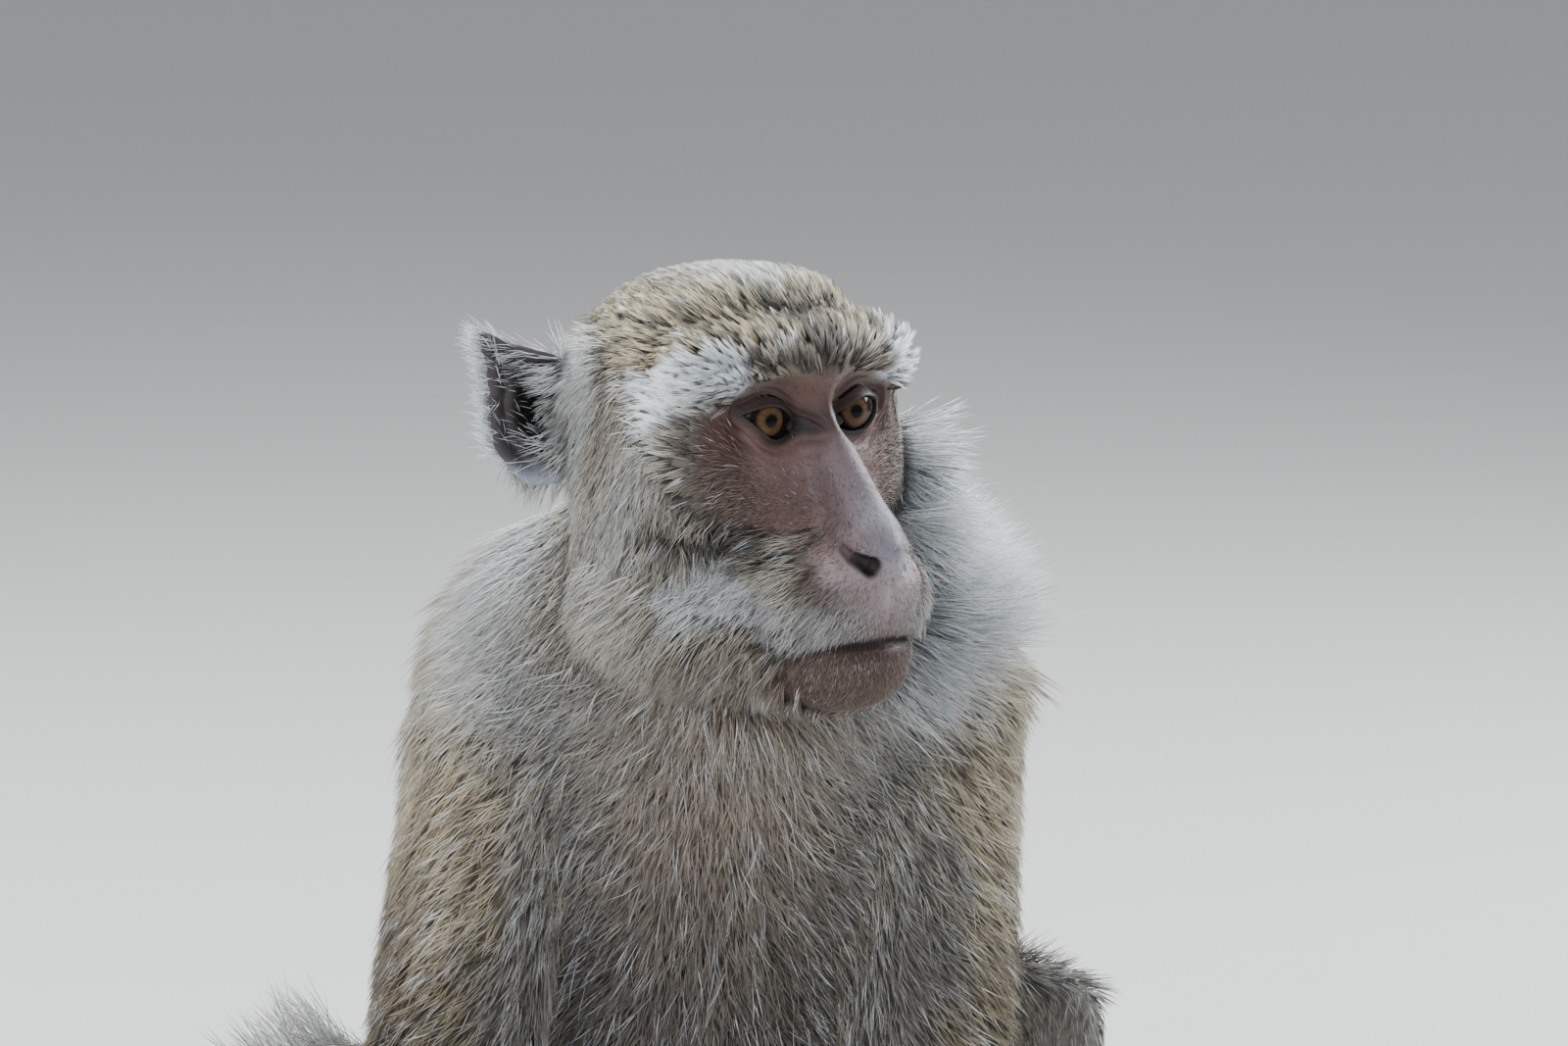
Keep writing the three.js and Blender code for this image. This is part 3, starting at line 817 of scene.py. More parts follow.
@dataclass(frozen=True)
class EyeFinish:
    """An amber iris with dark rings and fine spokes round a black pupil, under a wet gloss.

    The eye's map has its centre in the middle of the pupil, and runs to 1 at the ball's widest.
    """

    pupil: float = 0.18
    iris: float = 0.44
    amber: Triple = (0.105, 0.058, 0.026)
    inner: Triple = (0.058, 0.033, 0.016)
    limbus: Triple = (0.008, 0.005, 0.004)
    white: Triple = (0.013, 0.009, 0.008)
    roughness: float = 0.6
    wet: float = 0.5
    wet_roughness: float = 0.04
    wet_ior: float = 1.36

    def material(self, name: str) -> bpy.types.Material:
        """The finish as a material.

        Args:
            name: The material's name.

        Returns:
            The material, for a mesh with the eye's map.
        """
        material, tree, shader = node_tree(name)
        gaze = add_node(tree, "ShaderNodeUVMap", uv_map=GAZE)
        centred = add_node(tree, "ShaderNodeVectorMath", operation="MULTIPLY_ADD")
        centred.inputs[1].default_value = (2.0, 2.0, 0.0)
        centred.inputs[2].default_value = (-1.0, -1.0, 0.0)
        tree.links.new(gaze.outputs["UV"], centred.inputs[0])
        reach = add_node(tree, "ShaderNodeVectorMath", operation="LENGTH")
        tree.links.new(centred.outputs["Vector"], reach.inputs[0])
        rings = add_node(tree, "ShaderNodeValToRGB")
        self._fill(rings.color_ramp)
        tree.links.new(reach.outputs["Value"], rings.inputs["Fac"])
        spokes = add_node(tree, "ShaderNodeTexNoise", Scale=9.0, Detail=5.0, Roughness=0.65)
        way = add_node(tree, "ShaderNodeVectorMath", operation="NORMALIZE")
        tree.links.new(centred.outputs["Vector"], way.inputs[0])
        tree.links.new(way.outputs["Vector"], spokes.inputs["Vector"])
        span = {"From_Min": 0.3, "From_Max": 0.7, "To_Min": 0.6, "To_Max": 1.45}
        tree.links.new(shaded(tree, rings.outputs["Color"], spokes, **span), shader.inputs["Base Color"])
        shader.inputs["Roughness"].default_value = self.roughness
        shader.inputs["Specular IOR Level"].default_value = 0.0
        shader.inputs["Coat Weight"].default_value = self.wet
        shader.inputs["Coat Roughness"].default_value = self.wet_roughness
        shader.inputs["Coat IOR"].default_value = self.wet_ior
        return material

    def _fill(self, colours: bpy.types.ColorRamp) -> None:
        """Sets the rings from the pupil out to the white."""
        black, soft = (0.003, 0.002, 0.002), 0.012
        stops = (
            (self.pupil - soft, black), (self.pupil + soft, self.inner), (self.pupil + 0.08, self.amber),
            (self.iris - 0.09, self.amber), (self.iris - 0.03, self.inner), (self.iris + 0.01, self.limbus),
            (self.iris + 0.10, self.limbus), (self.iris + 0.18, self.white),
        )
        while len(colours.elements) < len(stops):
            colours.elements.new(0.5)
        for element, (place, colour) in zip(colours.elements, stops):
            element.position = place
            element.color = (*colour, 1)


@dataclass(frozen=True)
class Horn:
    """Dark smooth nail, a little paler in streaks along it."""

    colour: Triple = (0.045, 0.032, 0.028)
    pale: Triple = (0.12, 0.09, 0.075)
    roughness: float = 0.32
    streak_scale: float = 350.0

    def material(self, name: str) -> bpy.types.Material:
        """The finish as a material."""
        material, tree, shader = node_tree(name)
        streak = noise(tree, self.streak_scale, 4.0)
        blend = add_node(tree, "ShaderNodeMix", data_type="RGBA")
        blend.inputs[6].default_value = (*self.colour, 1)
        blend.inputs[7].default_value = (*self.pale, 1)
        tree.links.new(streak.outputs["Fac"], blend.inputs[0])
        tree.links.new(blend.outputs[2], shader.inputs["Base Color"])
        shader.inputs["Roughness"].default_value = self.roughness
        return material


# ---------------------------------------------------------------- eyes


@dataclass(frozen=True)
class Eyeball:
    """One eye: a ball with a raised cornea, looking straight out of the face."""

    form: EyeForm = EyeForm()
    cornea: float = 0.55  # how far it stands proud
    cornea_width: float = 0.46  # as a share of the ball's radius
    glance: float = math.radians(12)  # to the animal's right

    def build(self, name: str, side: int) -> bpy.types.Object:
        """The ball as a mesh, with a map that its rings read.

        Args:
            name: The object's name.
            side: 1 for the left and -1 for the right.

        Returns:
            The eye.
        """
        bm = bmesh.new()
        bmesh.ops.create_uvsphere(bm, u_segments=64, v_segments=48, radius=1.0)
        balls = np.array([v.co[:] for v in bm.verts])
        balls = balls[:, [2, 0, 1]]  # the pole looks forward
        off = np.linalg.norm(balls[:, 1:], axis=1)
        front = (balls[:, 0] > 0) * bump(off, self.cornea_width) * self.cornea
        turn = Matrix.Rotation(-side * self.glance, 3, "Z")
        turned = balls @ np.array(turn).T
        local = turned * (self.form.radius + front)[:, None] + np.array(self.form.centre)
        local[:, 1] *= side
        world = HeadFrame.to_world(local) * MM
        gaze = bm.loops.layers.uv.new(GAZE)
        for face in bm.faces:
            for loop in face.loops:
                _, across, up = balls[loop.vert.index]
                loop[gaze].uv = (0.5 + across / 2, 0.5 + up / 2)
        for vert, place in zip(bm.verts, world):
            vert.co = place
        for face in bm.faces:
            face.smooth = True
        bmesh.ops.recalc_face_normals(bm, faces=bm.faces[:])
        return from_bmesh(name, bm)


# ---------------------------------------------------------------- hide


class Part(Enum):
    """A stretch of the body, named as its solids' names begin."""

    HEAD = "head"
    EAR = "ear"
    NECK = "neck"
    CHEST = "chest"
    HIPS = "hips"
    UPPER_ARM = "upper_arm"
    FOREARM = "forearm"
    HAND = "hand"
    THIGH = "thigh"
    SHANK = "shank"
    FOOT = "foot"
    TAIL = "tail"


@dataclass
class Ground:
    """What the skin is like at a set of places, such as its own points or the roots of tufts."""

    at: Array  # in the world
    normal: Array
    flow: Array  # the way the coat lies
    parts: Array  # each part's share, in the order of Part
    head: Array = field(init=False)  # in the head's frame, folded to the left
    head_facing: Array = field(init=False)  # the normal in the head's frame, folded likewise
    figure: Array = field(init=False)
    facing: Array = field(init=False)  # the normal in the figure's frame

    def __post_init__(self) -> None:
        """Works out the places in the head's frame and the figure's."""
        local = HeadFrame.to_head(self.at)
        self.head = HeadForm.folded(local)
        self.head_facing = self.normal @ HeadFrame.AXES.T
        self.head_facing[:, 1] *= np.sign(local[:, 1])
        c, s = math.cos(Pose.BODY_YAW), math.sin(Pose.BODY_YAW)
        turn = np.array([[c, -s, 0], [s, c, 0], [0, 0, 1]])
        self.figure = self.at @ turn
        self.facing = self.normal @ turn

    def left(self) -> Array:
        """The places in the figure's frame, brought to its left side."""
        x, y, z = self.figure.T
        return np.stack([np.abs(x), y, z], 1)

    def share(self, *parts: Part) -> Array:
        """How far each place belongs to some parts."""
        order = list(Part)
        return np.clip(sum(self.parts[:, order.index(part)] for part in parts), 0, 1)

    def within(self, tris: Array, shares: Array) -> "Ground":
        """The ground at places inside triangles, from each one's share of the three corners."""
        def inside(rows: Array) -> Array:
            """Rows mixed by the corners' shares."""
            return (rows[tris] * shares[:, :, None]).sum(1)

        return Ground(inside(self.at), unit(inside(self.normal)), inside(self.flow), inside(self.parts))


class Lie:
    """Which way the coat lies all over the skin, as directions in the world."""

    NOSE = (78.0, 0.0, -18.0)  # the face's hair grows away from here
    LIP = (88.0, 0.0, -30.0)

    @classmethod
    def head(cls, at: Array) -> Array:
        """The directions over the head.

        Args:
            at: Places in the world.

        Returns:
            One direction for each place.
        """
        local = HeadFrame.to_head(at)
        p = HeadForm.folded(local)
        x, y, z = p.T
        way = unit(p - np.array(cls.NOSE))
        lip = unit(p - np.array(cls.LIP)) + (0, 0, -0.45)
        way = mixed(way, lip, ramp(z, -20, -28) * ramp(x, 40, 55))
        temple = ramp(z, 8, 14) * ramp(z, 32, 26) * ramp(y, 22, 28)
        way = way + temple[:, None] * (-0.7, 0.0, -0.45)
        cheek = ramp(y, 22, 29) * ramp(Markings.above_cheek(p), 2, -4) * ramp(z, -36, -26)
        way = mixed(way, (-0.08, 0.08, -1.0), cheek)
        beside = ramp(x, 66, 56) * ramp(y, 14, 24) * ramp(z, 2, -6) * ramp(z, -26, -20)
        way = way + beside[:, None] * (-0.3, 0.1, -0.7)
        jowl = ramp(y, 20, 28) * ramp(x, 54, 44) * ramp(z, -24, -32)
        way = mixed(way, (-0.65, 0.25, -0.7), jowl)
        low = ramp(z, -44, -56)
        way = way + low[:, None] * (-0.3, 0.2, -0.9)
        ear = ramp(y, 33, 37) * ramp(x, 14, 8) * ramp(z, -12, -4)
        way = mixed(way, (-0.9, 0.5, 0.1), ear)
        nape = ramp(x, 8, -10) * (1 - ear)
        way = way + nape[:, None] * (-0.7, 0.0, -1.2)
        way[:, 1] *= np.where(local[:, 1] < 0, -1.0, 1.0)
        return HeadFrame.turned(way)

    @staticmethod
    def bones() -> dict[str, Array]:
        """The direction along each solid that has a bone of its own."""
        ways = {}
        for limbs, names in (
            (Pose.ARMS, ("upper_arm", "forearm", "hand")),
            (Pose.LEGS, ("thigh", "shank", "foot")),
        ):
            for side, limb in limbs.items():
                joints = limb.points()
                for name, a, b in zip(names, joints, joints[1:]):
                    ways[f"{name}_{side}"] = b - a
        return ways

    @staticmethod
    def tail(at: Array) -> Array:
        """The directions over the tail, from root to tip."""
        joints = Pose.to_world(np.array(Pose.TAIL))
        lines = joints[1:] - joints[:-1]
        middles = (joints[1:] + joints[:-1]) / 2
        nearest = ((at[:, None] - middles) ** 2).sum(2).argmin(1)
        return unit(lines)[nearest]

    @staticmethod
    def trunk(ground: Ground) -> Array:
        """The directions over the neck, chest and hips."""
        x, _, z = ground.figure.T
        front = ramp(ground.facing[:, 1], 0.5, -0.2)
        out = np.sign(x) * ramp(np.abs(x), 0, 42) * (1.45 - 0.6 * ramp(z, 200, 120)) * front
        back = 0.5 * ramp(z, 90, 20) * (1 - front)
        return Pose.to_world(np.stack([out, back, -np.ones(len(x))], 1))

    @classmethod
    def over(cls, surface: Surface, ground: Ground, owner: Array) -> Array:
        """The directions over the whole skin.

        Args:
            surface: The skin.
            ground: The ground at its points.
            owner: The number in FLESH of the solid that each point belongs to.

        Returns:
            One direction for each point, along the skin and one long.
        """
        way = cls.trunk(ground)
        for name, bone in cls.bones().items():
            way[owner == FLESH.index(name)] = unit(bone[None])[0]
        arm = ground.share(Part.UPPER_ARM) * ramp(ground.facing[:, 1], 0.4, -0.3)
        out = Pose.to_world(np.stack([np.sign(ground.figure[:, 0]), 0 * arm, 0 * arm], 1))
        way = way + out * (0.95 * arm)[:, None]
        tail = np.isin(owner, [i for i, name in enumerate(FLESH) if name.startswith("tail")])
        way[tail] = cls.tail(ground.at[tail])
        on_head = ground.share(Part.HEAD, Part.EAR)
        way = way + (cls.head(ground.at) * 1.2 - way) * on_head[:, None]
        evened = np.where(on_head > 0.7, 0.15, 0.5)
        for _ in range(3):
            way = surface.spread(way, 5, evened)
            way = unit(way - ground.normal * (way * ground.normal).sum(1)[:, None])
        return way


class Hide:
    """The whole skin in one, and the ground it gives to the coat."""

    SOFTENED = {Part.HEAD: (24, 150), Part.HAND: (0, 8), Part.FOOT: (0, 8)}  # widening and smoothing steps
    NAPE_WIDEN = 70  # steps that widen the nape's seam
    NAPE_STEPS = 320  # and steps that smooth it

    def __init__(self, obj: bpy.types.Object, solids: Solids) -> None:
        """Reads a united skin and finds its parts and the lie of its coat.

        Args:
            obj: The skin, which is softened at its seams.
            solids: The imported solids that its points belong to.
        """
        self.obj = obj
        self.surface = Surface(obj)
        points = self.surface.points
        owner = solids.nearest(points)
        order = list(Part)
        kinds = np.array([next(i for i, p in enumerate(order) if n.startswith(p.value)) for n in FLESH])
        parts = np.eye(len(order))[kinds[owner]]
        parts = self._heads_own(points, parts, order)
        parts = self.surface.spread(parts, 8)
        self._soften(parts, order)
        points = self.surface.points
        self.ground = Ground(points, self.surface.normals(), np.zeros_like(points), parts)
        self.ground.flow = Lie.over(self.surface, self.ground, owner)

    def _soften(self, parts: Array, order: list[Part]) -> None:
        """Rounds the skin where the head meets the neck, and hands and feet their limbs.

        Args:
            parts: Each point's share of each part.
            order: The parts in the order of those shares.
        """
        for part, (widen, steps) in self.SOFTENED.items():
            here = self.surface.spread(parts[:, order.index(part)], widen)
            share = np.minimum(1, 6 * here * (1 - here)) * 0.5
            if part is Part.HEAD:
                share = share * (1 - np.clip(4 * parts[:, order.index(Part.EAR)], 0, 1))
                forward = HeadFrame.to_head(self.surface.points)[:, 0]
                share = share * (1 - 0.55 * ramp(forward, 2, 24)) * ramp(forward, 54, 42)
            self.surface.points = self.surface.spread(self.surface.points, steps, share)
        self._fill_nape(parts, order)
        self.surface.store()

    def _fill_nape(self, parts: Array, order: list[Part]) -> None:
        """Widens the hollow where the back of the head meets the neck, so that no crease is left."""
        here = self.surface.spread(parts[:, order.index(Part.HEAD)], self.NAPE_WIDEN)
        forward = HeadFrame.to_head(self.surface.points)[:, 0]
        ear = np.clip(4 * self.surface.spread(parts[:, order.index(Part.EAR)], 4), 0, 1)
        share = np.minimum(1, 5 * here * (1 - here)) * 0.5 * (1 - ear) * ramp(forward, 12, -6)
        self.surface.points = self.surface.spread(self.surface.points, self.NAPE_STEPS, share)

    @staticmethod
    def _heads_own(points: Array, parts: Array, order: list[Part]) -> Array:
        """Parts with the ears told from the head by their place, as the ears are thin."""
        p = HeadForm.folded(HeadFrame.to_head(points))
        ear = (p[:, 0] < 16) & (p[:, 1] > 33) & (np.abs(p[:, 2] - 8) < 34) & (p[:, 1] > 38 - 0.2 * p[:, 0])
        ear &= parts[:, order.index(Part.HEAD)] + parts[:, order.index(Part.EAR)] > 0
        result = parts.copy()
        result[ear] = np.eye(len(order))[order.index(Part.EAR)]
        return result

    def unwrap(self) -> None:
        """Unwraps the skin's own shape on to a map that the coat shares."""
        self.obj.data.uv_layers.new(name=BAKE)
        bpy.context.view_layer.objects.active = self.obj
        self.obj.select_set(True)
        bpy.ops.object.mode_set(mode="EDIT")
        bpy.ops.mesh.select_all(action="SELECT")
        bpy.ops.uv.smart_project(angle_limit=math.radians(60), island_margin=0.002)
        bpy.ops.object.mode_set(mode="OBJECT")
        self.obj.select_set(False)

    def corners(self) -> tuple[Array, Array]:
        """Each triangle's three places on the unwrap, and its area."""
        mesh = self.obj.data
        mesh.calc_loop_triangles()
        loops = np.empty(len(mesh.loop_triangles) * 3, int)
        mesh.loop_triangles.foreach_get("loops", loops)
        flat = np.empty(len(mesh.loops) * 2)
        mesh.uv_layers[BAKE].data.foreach_get("uv", flat)
        self.surface = Surface(self.obj)
        areas = np.linalg.norm(self.surface.crosses(), axis=1) / 2
        return flat.reshape(-1, 2)[loops.reshape(-1, 3)], areas

    def dress(self) -> None:
        """Gives the skin its colours, painted shade among them, and its finish."""
        mesh = self.obj.data
        colours = Markings.skin(self.ground)
        rows = np.concatenate([colours, np.ones((len(colours), 1))], 1)
        mesh.attributes.new(TINT, "FLOAT_COLOR", "POINT").data.foreach_set("color", rows.ravel())
        mesh.shade_smooth()
        mesh.materials.clear()
        mesh.materials.append(BareSkin().material("bare_skin"))


# ---------------------------------------------------------------- markings


@dataclass(frozen=True)
class Hue:
    """A hair's colours at its root, along its middle and at its tip."""

    root: Triple
    belly: Triple
    tip: Triple


class Markings:
    """The colours of skin and coat, from where each place is on the animal, painted shade and light among
    them.
    """

    OLIVE = Hue((0.06, 0.055, 0.05), (0.27, 0.22, 0.14), (0.58, 0.495, 0.32))
    BLACK = Hue((0.03, 0.03, 0.03), (0.04, 0.036, 0.034), (0.03, 0.028, 0.026))
    GREY = Hue((0.22, 0.20, 0.185), (0.35, 0.33, 0.305), (0.58, 0.56, 0.535))
    WARM = Hue((0.31, 0.24, 0.19), (0.38, 0.30, 0.24), (0.49, 0.42, 0.35))
    PALE = Hue((0.44, 0.47, 0.50), (0.75, 0.80, 0.84), (0.88, 0.93, 0.97))
    CHEEK = Hue((0.12, 0.098, 0.08), (0.31, 0.27, 0.215), (0.60, 0.555, 0.48))
    BROWN = Hue((0.08, 0.05, 0.04), (0.17, 0.12, 0.09), (0.36, 0.29, 0.22))
    TAWNY = Hue((0.09, 0.065, 0.048), (0.21, 0.165, 0.12), (0.42, 0.36, 0.28))
    GOLD = Hue((0.13, 0.105, 0.085), (0.43, 0.35, 0.235), (0.70, 0.61, 0.45))
    UMBER = Hue((0.04, 0.03, 0.022), (0.11, 0.08, 0.05), (0.22, 0.17, 0.105))
    DIM = Hue((0.05, 0.042, 0.04), (0.12, 0.10, 0.09), (0.22, 0.20, 0.18))
    FACE = Hue((0.05, 0.028, 0.024), (0.13, 0.085, 0.07), (0.37, 0.31, 0.265))
    LIP = Hue((0.12, 0.09, 0.09), (0.34, 0.32, 0.33), (0.70, 0.71, 0.73))
    CHIN = Hue((0.08, 0.048, 0.042), (0.15, 0.10, 0.08), (0.36, 0.29, 0.235))

    @staticmethod
    def above_cheek(p: Array) -> Array:
        """How high places of the head lie over the line where the crown's coat meets the cheeks'."""
        places = (-30, -5, 14, 26, 37, 45, 53, 62)
        heights = (2, 24, 22.5, 18, 9.5, -1, -14, -20)
        return p[:, 2] - np.interp(p[:, 0], places, heights)

    @staticmethod
    def temple(p: Array) -> Array:
        """1 on the white band from the brow's end over the temple."""
        x, _, z = p.T
        rough = 1.2 * ripple(p, 7, 31)
        foot = np.interp(x, (32, 44, 49, 54, 58), (11, 0, 4.5, 10.5, 14))
        foot = np.maximum(foot, z - Markings.above_cheek(p))
        over = ramp(z + rough - foot, -2, 3.5)
        return ramp(Markings.above_temple(p) + rough, 2, -2) * over * ramp(p[:, 1], 20, 26) * ramp(x, 20, 38)

    @staticmethod
    def above_temple(p: Array) -> Array:
        """How high places of the head lie over the crown's lower edge."""
        places = (-30, -5, 14, 26, 38, 46, 53, 58)
        heights = (2, 24, 22.5, 18.5, 18, 21, 24, 24.5)
        nape = 60 * ramp(p[:, 1], 30, 20) * ramp(p[:, 0], 2, -10)
        return p[:, 2] - np.interp(p[:, 0], places, heights) + nape

    @staticmethod
    def bare_face(p: Array) -> Array:
        """1 on the face where the hair is too short to hide the skin, from folded head places."""
        x, y, z = p.T
        oval = ((y / 36.5) ** 3 + (np.abs(z + 3.5 - 2.5 * bump(y, 12)) / 20) ** 3) ** (1 / 3)
        muzzle = np.linalg.norm((p - (86, 0, -38)) / (24, 21, 24), axis=1)
        chin = np.linalg.norm((p - (76, 0, -57)) / (21, 20, 15), axis=1)
        muzzle = np.maximum(ramp(muzzle, 1.1, 0.85), ramp(chin, 1.1, 0.85))
        return np.maximum(ramp(oval, 1.06, 0.92) * ramp(x, 40, 47), muzzle)

    @staticmethod
    def pad(p: Array) -> Array:
        """1 on the white pad of hair beside the mouth."""
        rough = 0.9 * ripple(p, 6, 32)
        return ramp(bar(p, (53, 31, -35), (69, 26, -41), 2.0, -1.5) + rough, 9.0, 5.5)

    @staticmethod
    def behind_ear(g: Ground) -> Array:
        """1 on the white patch of the neck behind and under each ear."""
        return bump(bar(g.left(), (40, -54, 304), (51, -72, 291)), 15)

    @staticmethod
    def painted_jaw_shadow(g: Ground) -> Array:
        """1 on the painted shadow where each cheek's hair ends over the neck."""
        return bump(bar(g.left(), (47, -108, 284), (34, -112, 266)), 12)

    @classmethod
    def head_shares(cls, g: Ground) -> list[tuple[Hue, Array]]:
        """The head's hues in the order they are laid on.

        Args:
            g: The ground at the places to colour.

        Returns:
            Each hue, with its share at each place.
        """
        x, y, z = g.head.T
        above = cls.above_cheek(g.head) + 0.8 * ripple(g.at, 12, 5)
        head = g.share(Part.HEAD, Part.EAR)
        before_ear = bump(bar(g.head, (12, 34, 20), (-9, 33, 23)), 6.5)
        over_ear = ramp(y, 32, 36) * ramp(x, 18, 11) * ramp(z, -14, -2)
        # painted shade in the groove where the crown's coat meets the cheeks'
        seam_shade = bump(above, 3.0) * ramp(x, 28, 38) * ramp(z, -20, -8)
        brow = ramp(z, 23, 18) * ramp(z, 10, 14) * ramp(x, 50, 56) * ramp(y, 36, 28)
        streak = bump(y, 8.5) * ramp(z, 14, 18) * ramp(z, 40, 29) * ramp(x, 26, 38)
        # the crown's top: greyer hair, made paler and bluer as a painted highlight of the light from above
        lit_top = bump(y, 15) * ramp(z, 34, 42) * ramp(x, 6, 24)
        jaw = ramp(z, -44, -54)
        # painted shadow in the fold under the cheek
        crease = bump(bar(g.head, (44, 37, -19), (64, 22, -25)), 5.5)
        lip = ramp(bar(g.head, (68, 27, -41), (88, 8, -44)), 10, 5) * ramp(z, -32, -40)
        # painted shade along the slit between the lips
        mouth = bump(HeadForm.mouth(g.head) - 0.4, 2.2) * ramp(x, 62, 70)
        chin = ramp(x, 58, 66) * ramp(z, -51, -54)
        return [
            (cls.CHEEK, head),
            (cls.OLIVE, head * ramp(cls.above_temple(g.head) + 0.8 * ripple(g.at, 12, 5), -2, 2)),
            (cls.GREY, head * lit_top * 0.8),
            (cls.PALE, head * lit_top * 0.45),
            (cls.BLACK, head * streak * 0.75),
            (cls.TAWNY, head * jaw * 0.8),
            (cls.DIM, head * seam_shade * 0.5),
            (cls.BROWN, head * brow * 0.5),
            (cls.PALE, head * cls.temple(g.head)),
            (cls.PALE, head * np.maximum(before_ear, over_ear) * 0.6),
            # painted light on the cheek before the ear, where its hair faces down away from the lamps
            (cls.PALE, head * bump(bar(g.head, (36, 40, -6), (28, 42, -28)), 9) * 0.3),
            # painted shadow under the cheek's hair
            (cls.DIM, head * cls.painted_jaw_shadow(g) * 0.5),
            # painted shade low behind the jaw, over the throat
            (cls.DIM, head * bump(bar(g.head, (16, 36, -62), (6, 34, -55)), 10) * 0.5),
            (cls.BROWN, head * bump(bar(g.head, (26, 40, 6), (21, 41, -8)), 9) * 0.25),
            (cls.PALE, head * cls.behind_ear(g) * 0.9),
            # the flare's pale hair, with painted backlight
            (cls.PALE, head * cls.far_flare(g) * 0.75),
            (cls.FACE, head * cls.bare_face(g.head)),
            (cls.PALE, head * cls.pad(g.head) * 0.8),
            (cls.LIP, head * lip * 0.75),
            # painted shadow in the fold under the cheek, kept off the white flare
            (cls.BLACK, head * crease * (1 - cls.far_flare(g)) * 0.9),
            (cls.CHIN, head * chin),
            # painted shade along the slit between the lips
            (cls.BLACK, head * mouth * 0.8),
        ]

    @staticmethod
    def far_flare(g: Ground) -> Array:
        """1 on the left cheek's outer fringe, where the coat stands out long and white: pale hair, painted
        whiter for light shining through it from behind.
        """
        x, y, z = g.head.T
        left = HeadFrame.to_head(g.at)[:, 1] > 0
        return left * ramp(x, 54, 50) * ramp(x, 20, 30) * ramp(z, 2, -6) * ramp(y, 26, 31)

    @classmethod
    def body_shares(cls, g: Ground) -> list[tuple[Hue, Array]]:
        """The body's hues in the order they are laid on.

        Args:
            g: The ground at the places to colour.

        Returns:
            Each hue, with its share at each place.
        """
        figure = g.left()
        x, _, z = figure.T
        side = g.facing[:, 0] * np.sign(g.figure[:, 0])
        front = ramp(g.facing[:, 1] + 0.15 * ripple(g.at, 40, 6), 0.15, -0.45)
        trunk = g.share(Part.NECK, Part.CHEST, Part.HIPS)
        fore = trunk * front
        arm = g.share(Part.UPPER_ARM, Part.FOREARM)
        leg = g.share(Part.THIGH, Part.SHANK)
        inner = ramp(side + 0.2 * ripple(g.at, 30, 7), 0.25, -0.3)
        low = ramp(z + 6 * ripple(g.at, 30, 8), 205, 172)
        ends = g.share(Part.HAND, Part.FOOT)
        tail = g.share(Part.TAIL)
        # pale hair on the shoulder's top, made paler as a painted highlight
        lit_shoulder = bump(bar(figure, (62, -74, 278), (60, -84, 262)), 12)
        stripe = bump(bar(figure, (85, -70, 200), (78, -86, 140)), 16)
        flank = trunk * ramp(side, 0.5, 0.8) * ramp(g.facing[:, 1], -0.4, 0) * ramp(z, 215, 180)
        return [
            (cls.GREY, fore),
            (cls.WARM, fore * ramp(x, 50, 14) * 0.9),
            (cls.GOLD, fore * ramp(x, 48, 62) * 0.8),
            # painted shade: the chest darker downwards, away from the light above
            (cls.DIM, fore * ramp(z, 238, 168) * 0.75),
            (cls.PALE, flank * 0.2),
            (cls.PALE, g.share(Part.THIGH) * ramp(g.figure[:, 0], -60, -80) * ramp(z, 110, 140) * 0.6),
            (cls.GOLD, arm * 0.92),
            (cls.UMBER, arm * low * ramp(g.facing[:, 1], 0.1, -0.3) * 0.6),
            (cls.GREY, arm * inner * 0.9),
            # painted shade on the arm's inner side, between arm and trunk
            (cls.DIM, arm * inner * ramp(z, 235, 185) * 0.5),
            (cls.UMBER, arm * stripe * 0.95),
            (cls.GREY, leg * 0.75),
            (cls.DIM, g.share(Part.SHANK) * 0.5),
            # painted highlight: paler where the knees face up to the light
            (cls.PALE, leg * ramp(g.normal[:, 2], 0.55, 0.95) * ramp(z, 110, 140) * 0.15),
            (cls.PALE, (trunk + arm) * cls.behind_ear(g) * 0.85),
            (cls.PALE, (trunk + arm) * lit_shoulder * 0.45),
            # painted shadow under the cheek's hair, on the neck and shoulder
            (cls.DIM, (trunk + arm) * cls.painted_jaw_shadow(g) * 0.85),
            (cls.DIM, ends * 0.85),
            (cls.DIM, tail * ramp(g.normal[:, 2], -0.4, 0.5) * 0.7),
            (cls.GREY, tail * ramp(g.normal[:, 2], 0.2, -0.6)),
        ]

    @classmethod
    def coat(cls, g: Ground) -> tuple[Array, Array, Array]:
        """The colours at the root, middle and tip of a hair at each place."""
        base = (cls.OLIVE.root, cls.OLIVE.belly, cls.OLIVE.tip)
        colours = [np.tile(np.array(c), (len(g.at), 1)) for c in base]
        for hue, share in cls.body_shares(g) + cls.head_shares(g):
            colours = [mixed(c, to, share) for c, to in zip(colours, (hue.root, hue.belly, hue.tip))]
        return tuple(colours)

